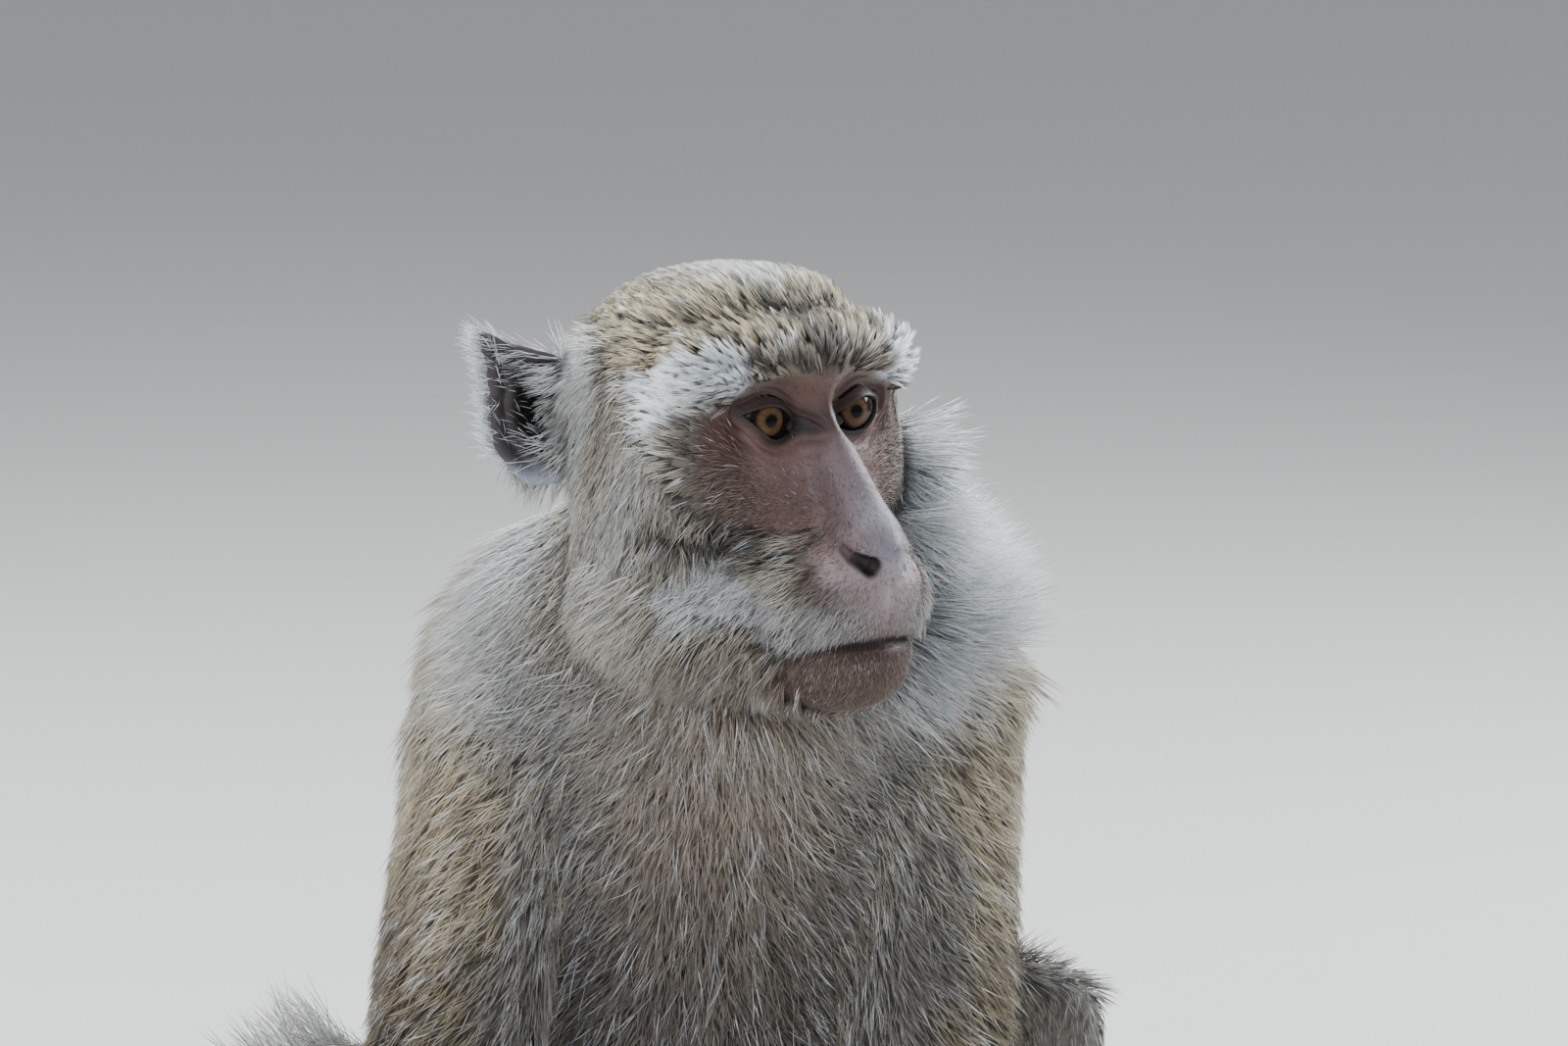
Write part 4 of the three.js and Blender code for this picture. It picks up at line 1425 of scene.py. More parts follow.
    @classmethod
    def skin(cls, g: Ground) -> Array:
        """The skin's colour: the coat's roots, and bare skin on face, ears, hands and feet, with painted
        shade in hollows.

        Args:
            g: The ground at the places to colour.

        Returns:
            One colour for each place.
        """
        root, belly, _ = cls.coat(g)
        colour = mixed(root, belly, np.full(len(root), 0.35))
        x, y, z = g.head.T
        face = g.share(Part.HEAD) * cls.bare_face(g.head)
        flesh = np.tile(np.array((0.17, 0.095, 0.08)), (len(x), 1))
        eye = HeadForm.EYE
        gap = eye.opening(g.head)
        near_eye = ramp(x, 42, 48)
        outer = ramp(y, 21, 27) * bump(z - 3, 18) * near_eye
        flesh = mixed(flesh, (0.07, 0.026, 0.02), outer * 0.95)
        below = bump(gap - 9, 5) * (1 - eye.above_line(g.head)) * near_eye * ramp(y, 27, 19)
        flesh = mixed(flesh, (0.27, 0.16, 0.145), below * 0.6)
        root_of_nose = bump(bar(g.head, (66, 0, 12), (70, 0, 2)), 7)
        flesh = mixed(flesh, (0.09, 0.042, 0.036), root_of_nose * 0.8)
        # the nose's grey-violet skin, its paler blue towards the tip partly a painted sheen
        nose = bump(bar(g.head, (74, 0, -8), (88, 0, -22)), 11)
        flesh = mixed(flesh, (0.15, 0.12, 0.145), nose * 0.85)
        tip = bump(bar(g.head, (86, 0, -19), (92, 0, -28)), 7)
        flesh = mixed(flesh, (0.27, 0.265, 0.32), tip * 0.8)
        lip = bump(bar(g.head, (88, 0, -38), (82, 12, -36)), 8)
        flesh = mixed(flesh, (0.42, 0.35, 0.37), lip * 0.85)
        lower = ramp(z, -50, -53) * ramp(x, 58, 66)
        flesh = mixed(flesh, (0.07, 0.034, 0.028), lower * 0.95)
        # painted shade, nearly black, in the slit between the lips
        mouth = bump(HeadForm.mouth(g.head) - 0.9, 1.6) * ramp(x, 56, 62)
        flesh = mixed(flesh, (0.012, 0.009, 0.009), mouth)
        lids = ramp(gap, 3.0, 0.8) * near_eye
        flesh = mixed(flesh, (0.035, 0.024, 0.022), lids)
        # painted shade under the brow, over the upper lid
        socket = bump(gap - 3.5, 3.0) * eye.above_line(g.head) * near_eye
        flesh = mixed(flesh, (0.05, 0.03, 0.028), socket * 0.75)
        # painted shade in the eye's inner corner
        corner = bump(bar(g.head, (60.5, 7, 5), (62, 4.6, 4.2)), 2.0)
        flesh = mixed(flesh, (0.02, 0.012, 0.012), corner * 0.9)
        # the nostril: dark brown skin round it, and painted shade nearly black in its hollow
        depths = (0.0, 1.3, 2.6, 3.9, 5.2)
        hole = np.min([HeadForm.nostril(g.head + g.head_facing * deep) for deep in depths], axis=0)
        flesh = mixed(flesh, (0.06, 0.028, 0.026), ramp(hole, 3.2, 1.2) * 0.7)
        flesh = mixed(flesh, (0.006, 0.004, 0.004), ramp(hole, 1.1, 0.1))
        colour = mixed(colour, flesh, face)
        ear = g.share(Part.EAR)
        colour = mixed(colour, (0.07, 0.058, 0.062), ear)
        colour = mixed(colour, (0.38, 0.41, 0.48), ear * ramp(z, -6, -13))
        # painted shade, nearly black, in the ear's opening
        bowl = np.linalg.norm((g.head - (-5, 36, 6)) / (10, 9, 12), axis=1)
        colour = mixed(colour, (0.006, 0.004, 0.004), ear * ramp(bowl, 1.5, 0.95))
        ends = g.share(Part.HAND, Part.FOOT)
        return mixed(colour, (0.085, 0.062, 0.056), ends * 0.85)


# ---------------------------------------------------------------- coat


@dataclass(frozen=True)
class Tuft:
    """How the tufts of one coat are shaped, in millimetres and degrees."""

    length: float
    width: float
    lift: float
    rings: int = 1
    flat: float = 0.6
    settle: float = 0.35  # how far the tip bends back to the skin
    hang: float = 0.0  # how far it bends down
    wave: float = 0.12
    vary: float = 0.25
    lock: int = 4  # how many gather in a lock
    scatter: float = 1.2
    gather: float = 0.45
    sink: float = 0.5


@dataclass(frozen=True)
class Coat:
    """One piece of the coat: where it grows, how thickly, and what its tufts are like."""

    name: str
    slot: str
    count: int
    tuft: Tuft
    thickness: Callable[[Ground], Array]
    lengths: Callable[[Ground], Array] | None = None
    dark: float = 0.0  # the share of tufts with black tips
    pale: float = 0.0
    seed: int = 1

    PATCH = 0.003  # the width of a tuft's place on the unwrap
    CLUSTER = 7.0  # how far apart darker and paler spots are
    LOWEST = 0.15  # over the floor

    def roots(
        self, hide: Hide, corners: Array, areas: Array, rng: np.random.Generator
    ) -> tuple[Ground, Array]:
        """Picks the places of the locks, evenly by area and thickness.

        Args:
            hide: The skin.
            corners: Each triangle's places on the unwrap.
            areas: Each triangle's area.
            rng: The coat's own random numbers.

        Returns:
            The ground at each lock, and its place on the unwrap.
        """
        thick = self.thickness(hide.ground)
        tris = hide.surface.tris
        total = np.cumsum(areas * thick[tris].mean(1))
        count = max(self.count // self.tuft.lock, 1)
        steps = (np.arange(count) + rng.random(count)) / count * total[-1]
        chosen = np.minimum(np.searchsorted(total, steps), len(total) - 1)
        a, b = rng.random((2, count))
        over = a + b > 1
        a, b = np.where(over, 1 - a, a), np.where(over, 1 - b, b)
        shares = np.stack([1 - a - b, a, b], 1)
        ground = hide.ground.within(tris[chosen], shares)
        uv = (corners[chosen] * shares[:, :, None]).sum(1)
        return ground, uv

    def build(self, hide: Hide, corners: Array, areas: Array) -> bpy.types.Object:
        """Grows the coat.

        Args:
            hide: The skin it grows from.
            corners: Each triangle's places on the unwrap.
            areas: Each triangle's area.

        Returns:
            One object with every tuft.
        """
        rng = np.random.default_rng(self.seed)
        ground, uv = self.roots(hide, corners, areas, rng)
        tuft, locks = self.tuft, len(ground.at)
        member = np.repeat(np.arange(locks), tuft.lock)
        n = len(member)
        normal = ground.normal[member]
        flow = unit(ground.flow - normal_part(ground.flow, ground.normal))[member]
        side = np.cross(flow, normal)
        angle, reach = rng.uniform(0, math.tau, n), tuft.scatter * np.sqrt(rng.random(n))
        away = np.cos(angle)[:, None] * flow + np.sin(angle)[:, None] * side
        root = ground.at[member] + reach[:, None] * away
        length = tuft.length * (1 + tuft.vary * rng.uniform(-1, 1, locks)[member] * 0.6)
        length *= 1 + tuft.vary * rng.uniform(-1, 1, n) * 0.4
        if self.lengths is not None:
            length *= self.lengths(ground)[member]
        lift = np.radians(tuft.lift) * (1 + 0.35 * rng.uniform(-1, 1, n))
        turn = 0.16 * rng.normal(size=locks)[member] + 0.10 * rng.normal(size=n)
        along = unit(flow + side * turn[:, None])
        way = along * np.cos(lift)[:, None] + normal * np.sin(lift)[:, None]
        bend = -normal * (np.sin(lift) * tuft.settle)[:, None] - UP * tuft.hang
        bend = bend + side * (tuft.wave * rng.normal(size=n))[:, None]
        tip = root + (way + bend) * length[:, None]
        middle = np.stack([np.bincount(member, tip[:, axis], locks) for axis in range(3)], 1) / tuft.lock
        bend = bend + (middle[member] - tip) * (tuft.gather / length)[:, None]
        verts = self.shaped(root, way, bend, normal, length, rng)
        verts[:, :, 2] = np.maximum(verts[:, :, 2], self.LOWEST)
        colours = self.coloured(ground, member, rng)
        return self.joined(verts, colours, uv[member])

    def shaped(
        self, root: Array, way: Array, bend: Array, normal: Array, length: Array, rng: np.random.Generator
    ) -> Array:
        """Each tuft's points: the root, rings of three round its line, and the tip.

        Args:
            root: Where each starts.
            way: The direction in which each sets out.
            bend: What each adds to that by its tip.
            normal: The skin's normal at its root.
            length: How long each is.
            rng: The coat's own random numbers.

        Returns:
            One row of points for each tuft.
        """
        tuft, n = self.tuft, len(root)
        stations = {1: (0.42,), 2: (0.2, 0.65)}[tuft.rings]
        girths = {1: (1.0,), 2: (0.8, 0.9)}[tuft.rings]
        side = unit(np.cross(way, normal))
        up = np.cross(way, side)
        roll = rng.uniform(-0.6, 0.6, n)[:, None]
        side, up = side * np.cos(roll) + up * np.sin(roll), up * np.cos(roll) - side * np.sin(roll)
        width = tuft.width * rng.uniform(0.7, 1.3, n) * np.minimum(np.sqrt(length / tuft.length), 1)
        verts = np.empty((n, 2 + 3 * tuft.rings, 3))
        verts[:, 0] = root - normal * tuft.sink
        for ring, (s, girth) in enumerate(zip(stations, girths)):
            middle = root + way * (length * s)[:, None] + bend * (length * s * s)[:, None]
            for corner in range(3):
                turn = math.tau * corner / 3 + math.pi / 6
                offset = side * math.cos(turn) + up * math.sin(turn) * tuft.flat
                verts[:, 1 + 3 * ring + corner] = middle + offset * (width * girth / 2)[:, None]
        verts[:, -1] = root + (way + bend) * length[:, None]
        return verts

    def coloured(self, ground: Ground, member: Array, rng: np.random.Generator) -> Array:
        """The tufts' colours.

        Args:
            ground: The ground at each lock.
            member: The lock of each tuft.
            rng: The coat's own random numbers.

        Returns:
            A colour for each point of each tuft.
        """
        root, belly, tip = (c[member] for c in Markings.coat(ground))
        n = len(member)
        cluster = 0.2 * ripple(ground.at, self.CLUSTER, self.seed)
        kind = 0.5 + cluster + 0.25 * rng.normal(size=len(ground.at))
        kind = np.where(rng.random(n) < 0.25, rng.random(n), kind[member])
        is_dark = (kind < self.dark) * ramp(tip.mean(1), 0.78, 0.6)
        tip = mixed(tip, Markings.BLACK.tip, is_dark * 0.85)
        belly = mixed(belly, Markings.BLACK.belly, is_dark * 0.7)
        is_pale = kind > 1 - self.pale
        tip = mixed(tip, Markings.PALE.tip, is_pale * 0.8)
        belly = mixed(belly, Markings.PALE.belly, is_pale * 0.6)
        shade = np.exp(0.2 * rng.normal(size=len(ground.at))[member] + 0.14 * rng.normal(size=n))[:, None]
        near = mixed(belly, tip, np.full(n, 0.2))
        far = mixed(belly, tip, np.full(n, 0.6))
        stops = [root] + [near] * 3 + [far] * (3 * (self.tuft.rings - 1)) + [tip]
        return np.stack([np.clip(c * shade, 0, 0.9) for c in stops], 1)

    def faces(self) -> Array:
        """One tuft's triangles, facing outwards."""
        rings, found = self.tuft.rings, []
        tip = 1 + 3 * rings
        for k in range(3):
            after = (k + 1) % 3
            found.append((0, 1 + after, 1 + k))
            for ring in range(rings - 1):
                a, b = 1 + 3 * ring, 4 + 3 * ring
                found.append((a + k, a + after, b + after))
                found.append((a + k, b + after, b + k))
            last = 1 + 3 * (rings - 1)
            found.append((last + k, last + after, tip))
        return np.array(found)

    def joined(self, verts: Array, colours: Array, uv: Array) -> bpy.types.Object:
        """All tufts as one mesh, each a small patch of the unwrap at its root's place.

        Args:
            verts: One row of points for each tuft.
            colours: A colour for each of them.
            uv: Each root's place on the unwrap.

        Returns:
            The finished piece.
        """
        n, per, _ = verts.shape
        faces = (self.faces()[None] + np.arange(n)[:, None, None] * per).reshape(-1, 3)
        mesh = bpy.data.meshes.new(self.name)
        mesh.vertices.add(n * per)
        mesh.vertices.foreach_set("co", (verts * MM).ravel().astype(np.float32))
        mesh.loops.add(faces.size)
        mesh.loops.foreach_set("vertex_index", faces.ravel().astype(np.int32))
        mesh.polygons.add(len(faces))
        mesh.polygons.foreach_set("loop_start", np.arange(0, faces.size, 3, dtype=np.int32))
        mesh.update(calc_edges=True)
        rows = np.concatenate([colours, np.ones((n, per, 1))], 2).astype(np.float32)
        mesh.attributes.new(TINT, "FLOAT_COLOR", "POINT").data.foreach_set("color", rows.ravel())
        places = uv[:, None] + self.patch(per)[None]
        layer = mesh.uv_layers.new(name=BAKE)
        layer.data.foreach_set("uv", places.reshape(-1, 2)[faces.ravel()].ravel().astype(np.float32))
        mesh.shade_smooth()
        mesh.materials.append(Hair().material(self.name))
        obj = add_object(self.name, mesh)
        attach(obj, "root")
        log.info("%s: %d tufts, %d triangles", self.name, n, len(faces))
        return obj

    def patch(self, per: int) -> Array:
        """Where a tuft's points lie on its patch of the unwrap, round the root's place."""
        rings = self.tuft.rings
        rows = [(0.0, -0.5)]
        for ring in range(rings):
            rise = (ring + 1) / (rings + 1) - 0.5
            rows += [(-0.5, rise), (0.5, rise), (0.0, rise)]
        rows.append((0.0, 0.5))
        return np.array(rows[:per]) * self.PATCH


def normal_part(vectors: Array, normals: Array) -> Array:
    """The part of each vector along its normal."""
    return normals * (vectors * normals).sum(1)[:, None]


class Grow:
    """How thickly each piece of the coat grows at each place, and how long its hair is there."""

    @staticmethod
    def clear(g: Ground) -> Array:
        """0 at the eyes, nostrils and mouth, where nothing grows, and 1 elsewhere."""
        x = g.head[:, 0]
        eyes = ramp(HeadForm.EYE.opening(g.head), 1.6, 2.8)
        eyes = np.where(x > 44, eyes, 1)
        nostril = ramp(HeadForm.nostril(g.head), 2.0, 3.2)
        mouth = ramp(np.abs(HeadForm.mouth(g.head) - 0.5), 1.2, 2.2)
        mouth = np.where(x > 58, mouth, 1)
        return eyes * nostril * mouth

    @staticmethod
    def furry_head(g: Ground) -> Array:
        """1 on the head outside the bare face and the ears."""
        return g.share(Part.HEAD) * (1 - Markings.bare_face(g.head))

    @classmethod
    def crown(cls, g: Ground) -> Array:
        """The top, temples and nape."""
        return cls.furry_head(g) * ramp(Markings.above_cheek(g.head), -3, 2)

    @staticmethod
    def crown_lengths(g: Ground) -> Array:
        """Longer down the nape, where it crosses on to the neck."""
        x, _, z = g.head.T
        return 1 + 1.1 * ramp(x, 2, -14) * ramp(z, 14, -8)

    @classmethod
    def cheeks(cls, g: Ground) -> Array:
        """The cheeks, jaws and nape's sides, thin before the ears' openings and lobes."""
        opening = bump(bar(g.head, (3, 36, 5), (-6, 38, 2)), 6)
        lobe = bump(bar(g.head, (2, 37, -10), (-4, 40, -14)), 5)
        thin = 1 - 0.85 * np.maximum(opening, lobe)
        return cls.furry_head(g) * ramp(Markings.above_cheek(g.head), 3, -2) * thin

    @staticmethod
    def cheek_lengths(g: Ground) -> Array:
        """Longer down to the jowls, where it hangs over the neck."""
        x, _, z = g.head.T
        jowl = 0.9 * ramp(z, -18, -42) * ramp(x, 58, 44)
        nape = 0.3 * ramp(x, 10, -10) + 1.1 * ramp(x, 4, -12) * ramp(z, 4, -14)
        return 1 + jowl + nape - 0.35 * Markings.pad(g.head)

    @classmethod
    def whiskers(cls, g: Ground) -> Array:
        """The long flare behind the cheeks."""
        return g.share(Part.HEAD) * Markings.far_flare(g)

    @staticmethod
    def whisker_lengths(g: Ground) -> Array:
        """Longest half way down the cheek."""
        return 1 + 0.25 * ramp(g.head[:, 2], -4, -16)

    @classmethod
    def face(cls, g: Ground) -> Array:
        """The short hair of the face, thin on the nose and under the eyes.

        Args:
            g: The ground at the places asked about.

        Returns:
            How thickly it grows at each place.
        """
        x, y, z = g.head.T
        nose = bump(bar(g.head, (66, 0, 5), (90, 0, -26)), 8.5)
        below = bump(HeadForm.EYE.opening(g.head) - 4, 5.5) * ramp(x, 44, 48)
        upper_lip = bump(bar(g.head, (90, 0, -37), (82, 12, -34)), 7)
        thin = (1 - 0.97 * nose) * (1 - 0.88 * below) * (1 - 0.8 * upper_lip)
        lip = ramp(bar(g.head, (64, 26, -38), (84, 12, -42)), 14, 6) * ramp(z, -24, -30)
        chin = ramp(z, -51, -55) * ramp(x, 55, 65)
        bare = g.share(Part.HEAD) * Markings.bare_face(g.head)
        low = ramp(z, 2, -8)
        edge = 0.25 * ramp(y, 18, 28) * ramp(z, -8, -18)
        lip = lip * (0.5 + 0.9 * ramp(y, 14, 24))
        return bare * cls.clear(g) * thin * (0.16 + 0.16 * low + edge + lip + 0.22 * chin)

    @staticmethod
    def face_lengths(g: Ground) -> Array:
        """Short on the nose and longer to the face's edge and on the lip."""
        _, y, z = g.head.T
        lip = ramp(bar(g.head, (62, 27, -37), (80, 18, -42)), 13, 5) * ramp(z, -24, -30)
        return 0.6 + 0.7 * ramp(y, 14, 30) + 1.2 * lip

    @classmethod
    def before_ears(cls, g: Ground) -> Array:
        """The fluff over the front of the ears."""
        return cls.furry_head(g) * bump(bar(g.head, (14, 34, 18), (-7, 33, 23)), 5)

    @staticmethod
    def ears(g: Ground) -> Array:
        """Hair on the backs and rims of the ears, and a little in front."""
        inside = ramp(g.head_facing[:, 0], 0.0, 0.5) * (1 - 0.4 * ramp(g.head[:, 2], 12, 18))
        rim = ramp(g.head[:, 1], 42, 48)
        return g.share(Part.EAR) * (1 - 0.9 * inside) * (0.5 + rim)

    @staticmethod
    def throat(g: Ground) -> Array:
        """The ruff from the jaw over the neck to the shoulders' top."""
        return g.share(Part.NECK) + 0.6 * g.share(Part.CHEST) * ramp(g.figure[:, 2], 225, 265)

    @staticmethod
    def chest(g: Ground) -> Array:
        """The front of the trunk."""
        return g.share(Part.CHEST, Part.HIPS, Part.NECK) * ramp(g.facing[:, 1], 0.35, -0.1)

    @classmethod
    def chest_wisps(cls, g: Ground) -> Array:
        """The chest's long hair, sparse down its middle."""
        return cls.chest(g) * (0.4 + 0.6 * ramp(np.abs(g.figure[:, 0]), 8, 36))

    @staticmethod
    def back(g: Ground) -> Array:
        """The trunk's sides and back."""
        return g.share(Part.CHEST, Part.HIPS, Part.NECK) * ramp(g.facing[:, 1], -0.35, 0.1)

    @staticmethod
    def arms(g: Ground) -> Array:
        """Arms, thinner to the wrist."""
        return g.share(Part.UPPER_ARM) + 0.8 * g.share(Part.FOREARM)

    @staticmethod
    def flanks(g: Ground) -> Array:
        """The long wisps of the loins, behind the arms."""
        z = g.figure[:, 2]
        side = ramp(np.abs(g.facing[:, 0]), 0.35, 0.75) * ramp(g.facing[:, 1], -0.5, -0.1)
        body = 0.5 * g.share(Part.HIPS) * side * ramp(z, 185, 160) * ramp(g.facing[:, 1], -0.1, 0.2)
        knee = g.share(Part.THIGH) * ramp(g.figure[:, 0], -60, -75) * ramp(z, 105, 125)
        return body + knee * ramp(g.facing[:, 0], 0.3, -0.3)

    @staticmethod
    def flank_lengths(g: Ground) -> Array:
        """Longest on the right knee."""
        return 1 + 0.3 * g.share(Part.THIGH)

    @staticmethod
    def legs(g: Ground) -> Array:
        """Thighs and shanks."""
        return g.share(Part.THIGH, Part.SHANK)

    @staticmethod
    def limb_lengths(g: Ground) -> Array:
        """Long by the body and short by hand or foot."""
        leg = g.share(Part.THIGH, Part.SHANK)
        knee = ramp(g.normal[:, 2], 0.4, 0.9) * ramp(g.figure[:, 2], 110, 135) * leg
        return 1 + 0.6 * knee - 0.5 * g.share(Part.FOREARM, Part.SHANK) - 0.3 * g.share(Part.HAND, Part.FOOT)

    @staticmethod
    def tail(g: Ground) -> Array:
        """The tail."""
        return g.share(Part.TAIL)

    @staticmethod
    def extremities(g: Ground) -> Array:
        """The backs of hands and feet, up to the nails."""
        tips = np.array([digit.tip for digit in Digit.every()])
        away = np.sqrt(((g.at[:, None] - tips) ** 2).sum(2).min(1))
        upper = ramp(g.normal[:, 2], -0.2, 0.35) * ramp(g.at[:, 2], 4, 12)
        return g.share(Part.HAND, Part.FOOT) * upper * ramp(away, 6, 12)


COATS = (
    Coat("crown_coat", "head_coat", 24000, Tuft(8.5, 0.53, 15, lock=6, gather=0.75, scatter=0.8),
         Grow.crown, Grow.crown_lengths, dark=0.42, seed=11),
    Coat("cheek_coat", "head_coat", 30000, Tuft(10, 0.39, 26, lock=3, hang=0.06, scatter=0.9, wave=0.18),
         Grow.cheeks, Grow.cheek_lengths, dark=0.12, pale=0.15, seed=12),
    Coat("whisker_coat", "head_coat", 8500, Tuft(26, 0.4, 60, rings=2, settle=0.1, lock=4, scatter=1.8),
         Grow.whiskers, Grow.whisker_lengths, pale=0.8, seed=13),
    Coat("face_coat", "head_coat", 11000, Tuft(3.9, 0.2, 17, lock=1, sink=0.25, wave=0.1, scatter=0.2),
         Grow.face, Grow.face_lengths, seed=14),
    Coat("ear_coat", "ear_skin", 3800, Tuft(8.0, 0.24, 26, lock=1, sink=0.2, scatter=0.2), Grow.ears,
         pale=0.85, seed=15),
    Coat("ear_front_coat", "head_coat", 2400, Tuft(12, 0.32, 46, lock=3, scatter=1.2), Grow.before_ears,
         pale=0.5, seed=24),
    Coat("throat_coat", "grey_coat", 24000, Tuft(16, 0.44, 30, hang=0.05, lock=3, scatter=1.6, wave=0.2),
         Grow.throat, pale=0.2, seed=16),
    Coat("chest_under_coat", "grey_coat", 23000, Tuft(12, 0.62, 20, lock=3, hang=0.04, scatter=1.6, wave=0.2),
         Grow.chest, seed=17),
    Coat("chest_long_coat", "grey_coat", 11000,
         Tuft(15, 0.3, 28, rings=2, lock=2, hang=0.08, scatter=2.0, wave=0.3), Grow.chest_wisps,
         pale=0.35, seed=18),
    Coat("arm_coat", "gold_coat", 27500, Tuft(14, 0.43, 30, lock=3, scatter=1.4, wave=0.18), Grow.arms,
         Grow.limb_lengths, dark=0.14, pale=0.13, seed=19),
    Coat("flank_coat", "grey_coat", 3600, Tuft(27, 0.42, 46, rings=2, settle=0.2, lock=4, scatter=2),
         Grow.flanks, Grow.flank_lengths, pale=0.4, seed=25),
    Coat("back_coat", "gold_coat", 22000, Tuft(21, 0.78, 22, lock=3, scatter=1.8), Grow.back,
         dark=0.25, seed=20),
    Coat("leg_coat", "grey_coat", 22000, Tuft(11.5, 0.54, 21, lock=3, scatter=1.2), Grow.legs,
         Grow.limb_lengths, dark=0.15, pale=0.04, seed=21),
    Coat("tail_coat", "tail_coat", 5200, Tuft(10, 0.7, 14, lock=3, scatter=1.0), Grow.tail,
         dark=0.2, seed=22),
    Coat("hand_foot_coat", "hand_skin", 7500, Tuft(6, 0.42, 15, lock=2, scatter=0.6, sink=0.3),
         Grow.extremities, dark=0.1, seed=23),
)


# ---------------------------------------------------------------- nails


@dataclass(frozen=True)
class Fan:
    """The sizes of a hand's or foot's four digits and of its thumb or big toe."""

    spread: float
    length: float
    radius: float
    splay: float
    first_root: float  # how far along the palm or sole
    first_out: float
    first_away: float
    first_length: float
    first_radius: float


@dataclass(frozen=True)
class Digit:
    """The end of one finger or toe, in the world."""

    tip: Array
    way: Array
    radius: float

    FINGERS = Fan(9.6, 40, 5.0, 0.10, 0.5, 13, 12, 20, 4.6)
    TOES = Fan(10.0, 38, 5.8, 0.09, 0.42, 11, 17, 32, 6.0)

    @classmethod
    def of(cls, limb: Limb, fan: Fan) -> list["Digit"]:
        """The five digits of a limb.

        Args:
            limb: The arm or leg, in the figure's frame.
            fan: The sizes of its hand or foot.

        Returns:
            The digits, the thumb or big toe first.
        """
        wrist, knuckles = (np.array(joint) * (limb.side, 1, 1) for joint in limb.joints[2:])
        heading = unit((knuckles - wrist)[None] * (1, 1, 0))[0]
        across = np.cross(UP, heading)
        start = wrist + (knuckles - wrist) * fan.first_root - (limb.side * fan.first_out, 0, 0)
        end = start + heading * fan.first_length - (limb.side * fan.first_away, 0, 0)
        found = [cls.lying(start, end, fan.first_radius, fan.first_radius - 0.6)]
        for place in (-1.5, -0.5, 0.5, 1.5):
            way = np.array(Matrix.Rotation(place * fan.splay, 3, "Z")) @ heading
            root = knuckles + across * place * fan.spread
            end = root + way * fan.length * (1 - 0.06 * place**2)
            found.append(cls.lying(root, end, fan.radius - 0.8, fan.radius - 1))
        return found

    @classmethod
    def lying(cls, start: Array, end: Array, radius: float, height: float) -> "Digit":
        """A digit on the floor from its start and end in the figure's frame."""
        start, end = (Pose.to_world(np.array([*point[:2], height]))[0] for point in (start, end))
        return cls(end, unit((end - start)[None])[0], radius)

    @classmethod
    def every(cls) -> list["Digit"]:
        """All twenty."""
        hands = [digit for limb in Pose.ARMS.values() for digit in cls.of(limb, cls.FINGERS)]
        return hands + [digit for limb in Pose.LEGS.values() for digit in cls.of(limb, cls.TOES)]


@dataclass(frozen=True)
class NailForm:
    """A nail: a narrow plate curved over the end of a digit, with a little free edge."""

    back: float = 0.35  # behind the digit's last centre, as a share of its radius
    reach: float = 1.45
    arc: float = 0.95
    thick: float = 0.6

    def added(self, bm: bmesh.types.BMesh, digit: Digit) -> None:
        """Adds one nail to a mesh.

        Args:
            bm: The mesh.
            digit: The finger or toe that it lies on.
        """
        grid = bmesh.ops.create_grid(bm, x_segments=6, y_segments=8, size=1.0)
        verts = grid["verts"]
        across = np.cross(UP, digit.way)
        for vert in verts:
            s, t = vert.co.x, (vert.co.y + 1) / 2
            radius = digit.radius * (1.0 - 0.22 * t * t)
            angle = s * self.arc * (1 - 0.3 * t**3)
            along = digit.radius * (t * self.reach - self.back)
            sag = 0.3 * digit.radius * t * t
            place = digit.tip + digit.way * along + across * radius * math.sin(angle)
            vert.co = (place + UP * (radius * math.cos(angle) - sag)) * MM
        faces = list({face for vert in verts for face in vert.link_faces})
        bmesh.ops.solidify(bm, geom=faces, thickness=self.thick * MM)

    def build(self, name: str, digits: Sequence[Digit]) -> bpy.types.Object:
        """The nails of one hand or foot as one object."""
        bm = bmesh.new()
        for digit in digits:
            self.added(bm, digit)
        bm.normal_update()
        bmesh.ops.recalc_face_normals(bm, faces=bm.faces[:])
        for face in bm.faces:
            face.smooth = True
        return from_bmesh(name, bm)


# ---------------------------------------------------------------- studio


@dataclass(frozen=True)
class Lamp:
    """A soft square light: where it stands, its side, its power and its tint."""

    place: Triple
    size: float
    power: float
    tint: Triple = (1.0, 1.0, 1.0)


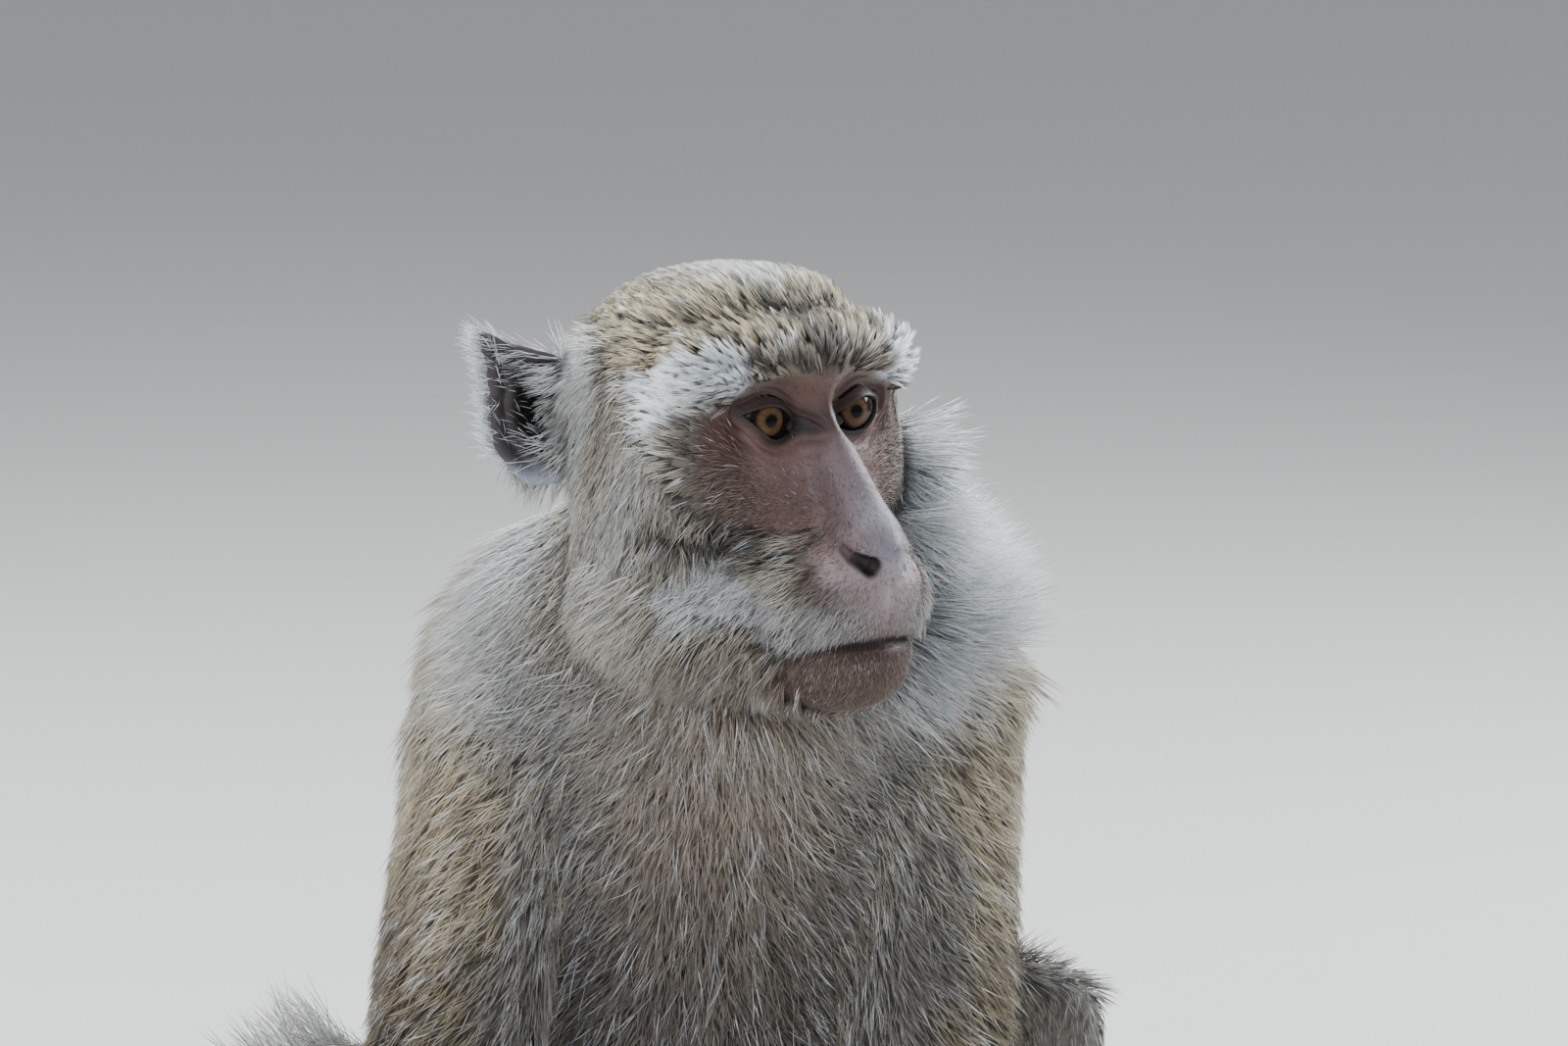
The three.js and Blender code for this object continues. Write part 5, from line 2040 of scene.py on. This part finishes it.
@dataclass(frozen=True)
class Studio:
    """A pale floor, soft lamps and the camera."""

    floor_size: float = 24.0
    floor_gap: float = 0.0005  # under the model
    floor_tint: Triple = (0.62, 0.61, 0.59)
    sky: float = 0.55
    sky_tint: Triple = (0.84, 0.89, 0.95)
    target: Triple = (0.0331, -0.070, 0.300)
    distance: float = 2.352
    elevation: float = math.radians(8)
    lens: float = 200.0
    sensor: float = 36.0
    sight: float = 50.0  # how far the camera sees
    lamps: dict[str, Lamp] = field(
        default_factory=lambda: {
            "overhead": Lamp((-0.4, 0.3, 2.2), 1.6, 62.0, (0.92, 0.97, 1.0)),
            "front": Lamp((-1.2, -2.0, 1.3), 1.4, 20.0, (0.95, 0.98, 1.0)),
            "rim_right": Lamp((1.4, 1.0, 1.15), 1.0, 56.0, (0.93, 0.97, 1.0)),
            "rim_left": Lamp((-1.6, 0.7, 0.9), 1.0, 34.0, (0.96, 0.98, 1.0)),
        }
    )

    def camera(self) -> bpy.types.Object:
        """The camera, level and looking straight along +Y but for its drop."""
        data = bpy.data.cameras.new("camera")
        data.lens, data.sensor_width = self.lens, self.sensor
        data.clip_end = self.sight
        obj = bpy.data.objects.new("camera", data)
        back = Vector((0, -math.cos(self.elevation), math.sin(self.elevation)))
        obj.location = Vector(self.target) + back * self.distance
        obj.rotation_euler = (math.pi / 2 - self.elevation, 0, 0)
        bpy.context.scene.collection.objects.link(obj)
        bpy.context.scene.camera = obj
        return obj

    def floor(self) -> bpy.types.Object:
        """The floor, just under the model."""
        bm = bmesh.new()
        bmesh.ops.create_grid(bm, x_segments=2, y_segments=2, size=self.floor_size / 2)
        bmesh.ops.translate(bm, verts=bm.verts[:], vec=(0, 0, -self.floor_gap))
        obj = from_bmesh("floor", bm)
        material, _, shader = node_tree("floor")
        shader.inputs["Base Color"].default_value = (*self.floor_tint, 1)
        shader.inputs["Roughness"].default_value = 0.8
        obj.data.materials.append(material)
        return obj

    def light(self) -> None:
        """Lamps that face the figure, and an even sky."""
        for name, lamp in self.lamps.items():
            data = bpy.data.lights.new(name, "AREA")
            data.size, data.energy, data.color = lamp.size, lamp.power, lamp.tint
            obj = bpy.data.objects.new(name, data)
            obj.location = lamp.place
            way = Vector(self.target) - Vector(lamp.place)
            obj.rotation_euler = way.to_track_quat("-Z", "Y").to_euler()
            bpy.context.scene.collection.objects.link(obj)
        world = bpy.data.worlds.new("sky")
        world.use_nodes = True
        sky = world.node_tree.nodes["Background"]
        sky.inputs["Color"].default_value = (*self.sky_tint, 1)
        sky.inputs["Strength"].default_value = self.sky
        bpy.context.scene.world = world

    def build(self) -> None:
        """Sets the whole stage."""
        self.camera()
        self.floor()
        self.light()


# ---------------------------------------------------------------- whole


class Macaque:
    """The whole animal, put together."""

    def __init__(self) -> None:
        """Reads the solids."""
        self.solids = Solids()

    def skin(self) -> Hide:
        """One skin round all the flesh."""
        body, ends = BodyForm().build(self.solids)
        head = HeadForm().build()
        ears = [EarForm().build(f"ear_{name}_skin", side) for name, side in SIDES.items()]
        whole = united(body, [head, *ears, *ends])
        whole.name = whole.data.name = "skin"
        hide = Hide(whole, self.solids)
        hide.dress()
        hide.unwrap()
        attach(whole, "root")
        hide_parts(*FLESH)
        log.info("skin: %d points, %d triangles", len(hide.surface.points), len(hide.surface.tris))
        return hide

    def coat(self, hide: Hide) -> None:
        """Every piece of the coat."""
        corners, areas = hide.corners()
        for coat in COATS:
            coat.build(hide, corners, areas)

    def eyes(self) -> None:
        """Both eyes."""
        for name, side in SIDES.items():
            ball = Eyeball().build(f"eyeball_{name}", side)
            ball.data.materials.append(EyeFinish().material(f"eye_{name}"))
            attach(ball, "root")
            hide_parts(f"eye_{name}")
            log.info("%s: %d faces", ball.name, len(ball.data.polygons))

    def nails(self) -> None:
        """The nails of both hands and both feet."""
        horn = Horn().material("nail")
        for kind, limbs, fan in (("hand", Pose.ARMS, Digit.FINGERS), ("foot", Pose.LEGS, Digit.TOES)):
            for side, limb in limbs.items():
                piece = NailForm().build(f"nails_{kind}_{side}", Digit.of(limb, fan))
                piece.data.materials.append(horn)
                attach(piece, "root")
                log.info("%s: %d faces", piece.name, len(piece.data.polygons))

    def build(self) -> None:
        """The animal, from the skin out."""
        hide = self.skin()
        self.eyes()
        self.nails()
        self.coat(hide)


def main() -> None:
    """Builds the studio and the animal in it."""
    logging.basicConfig(level=logging.INFO, format="%(name)s %(message)s", stream=sys.stdout)
    Studio().build()
    Macaque().build()


if __name__ == "__main__":
    main()
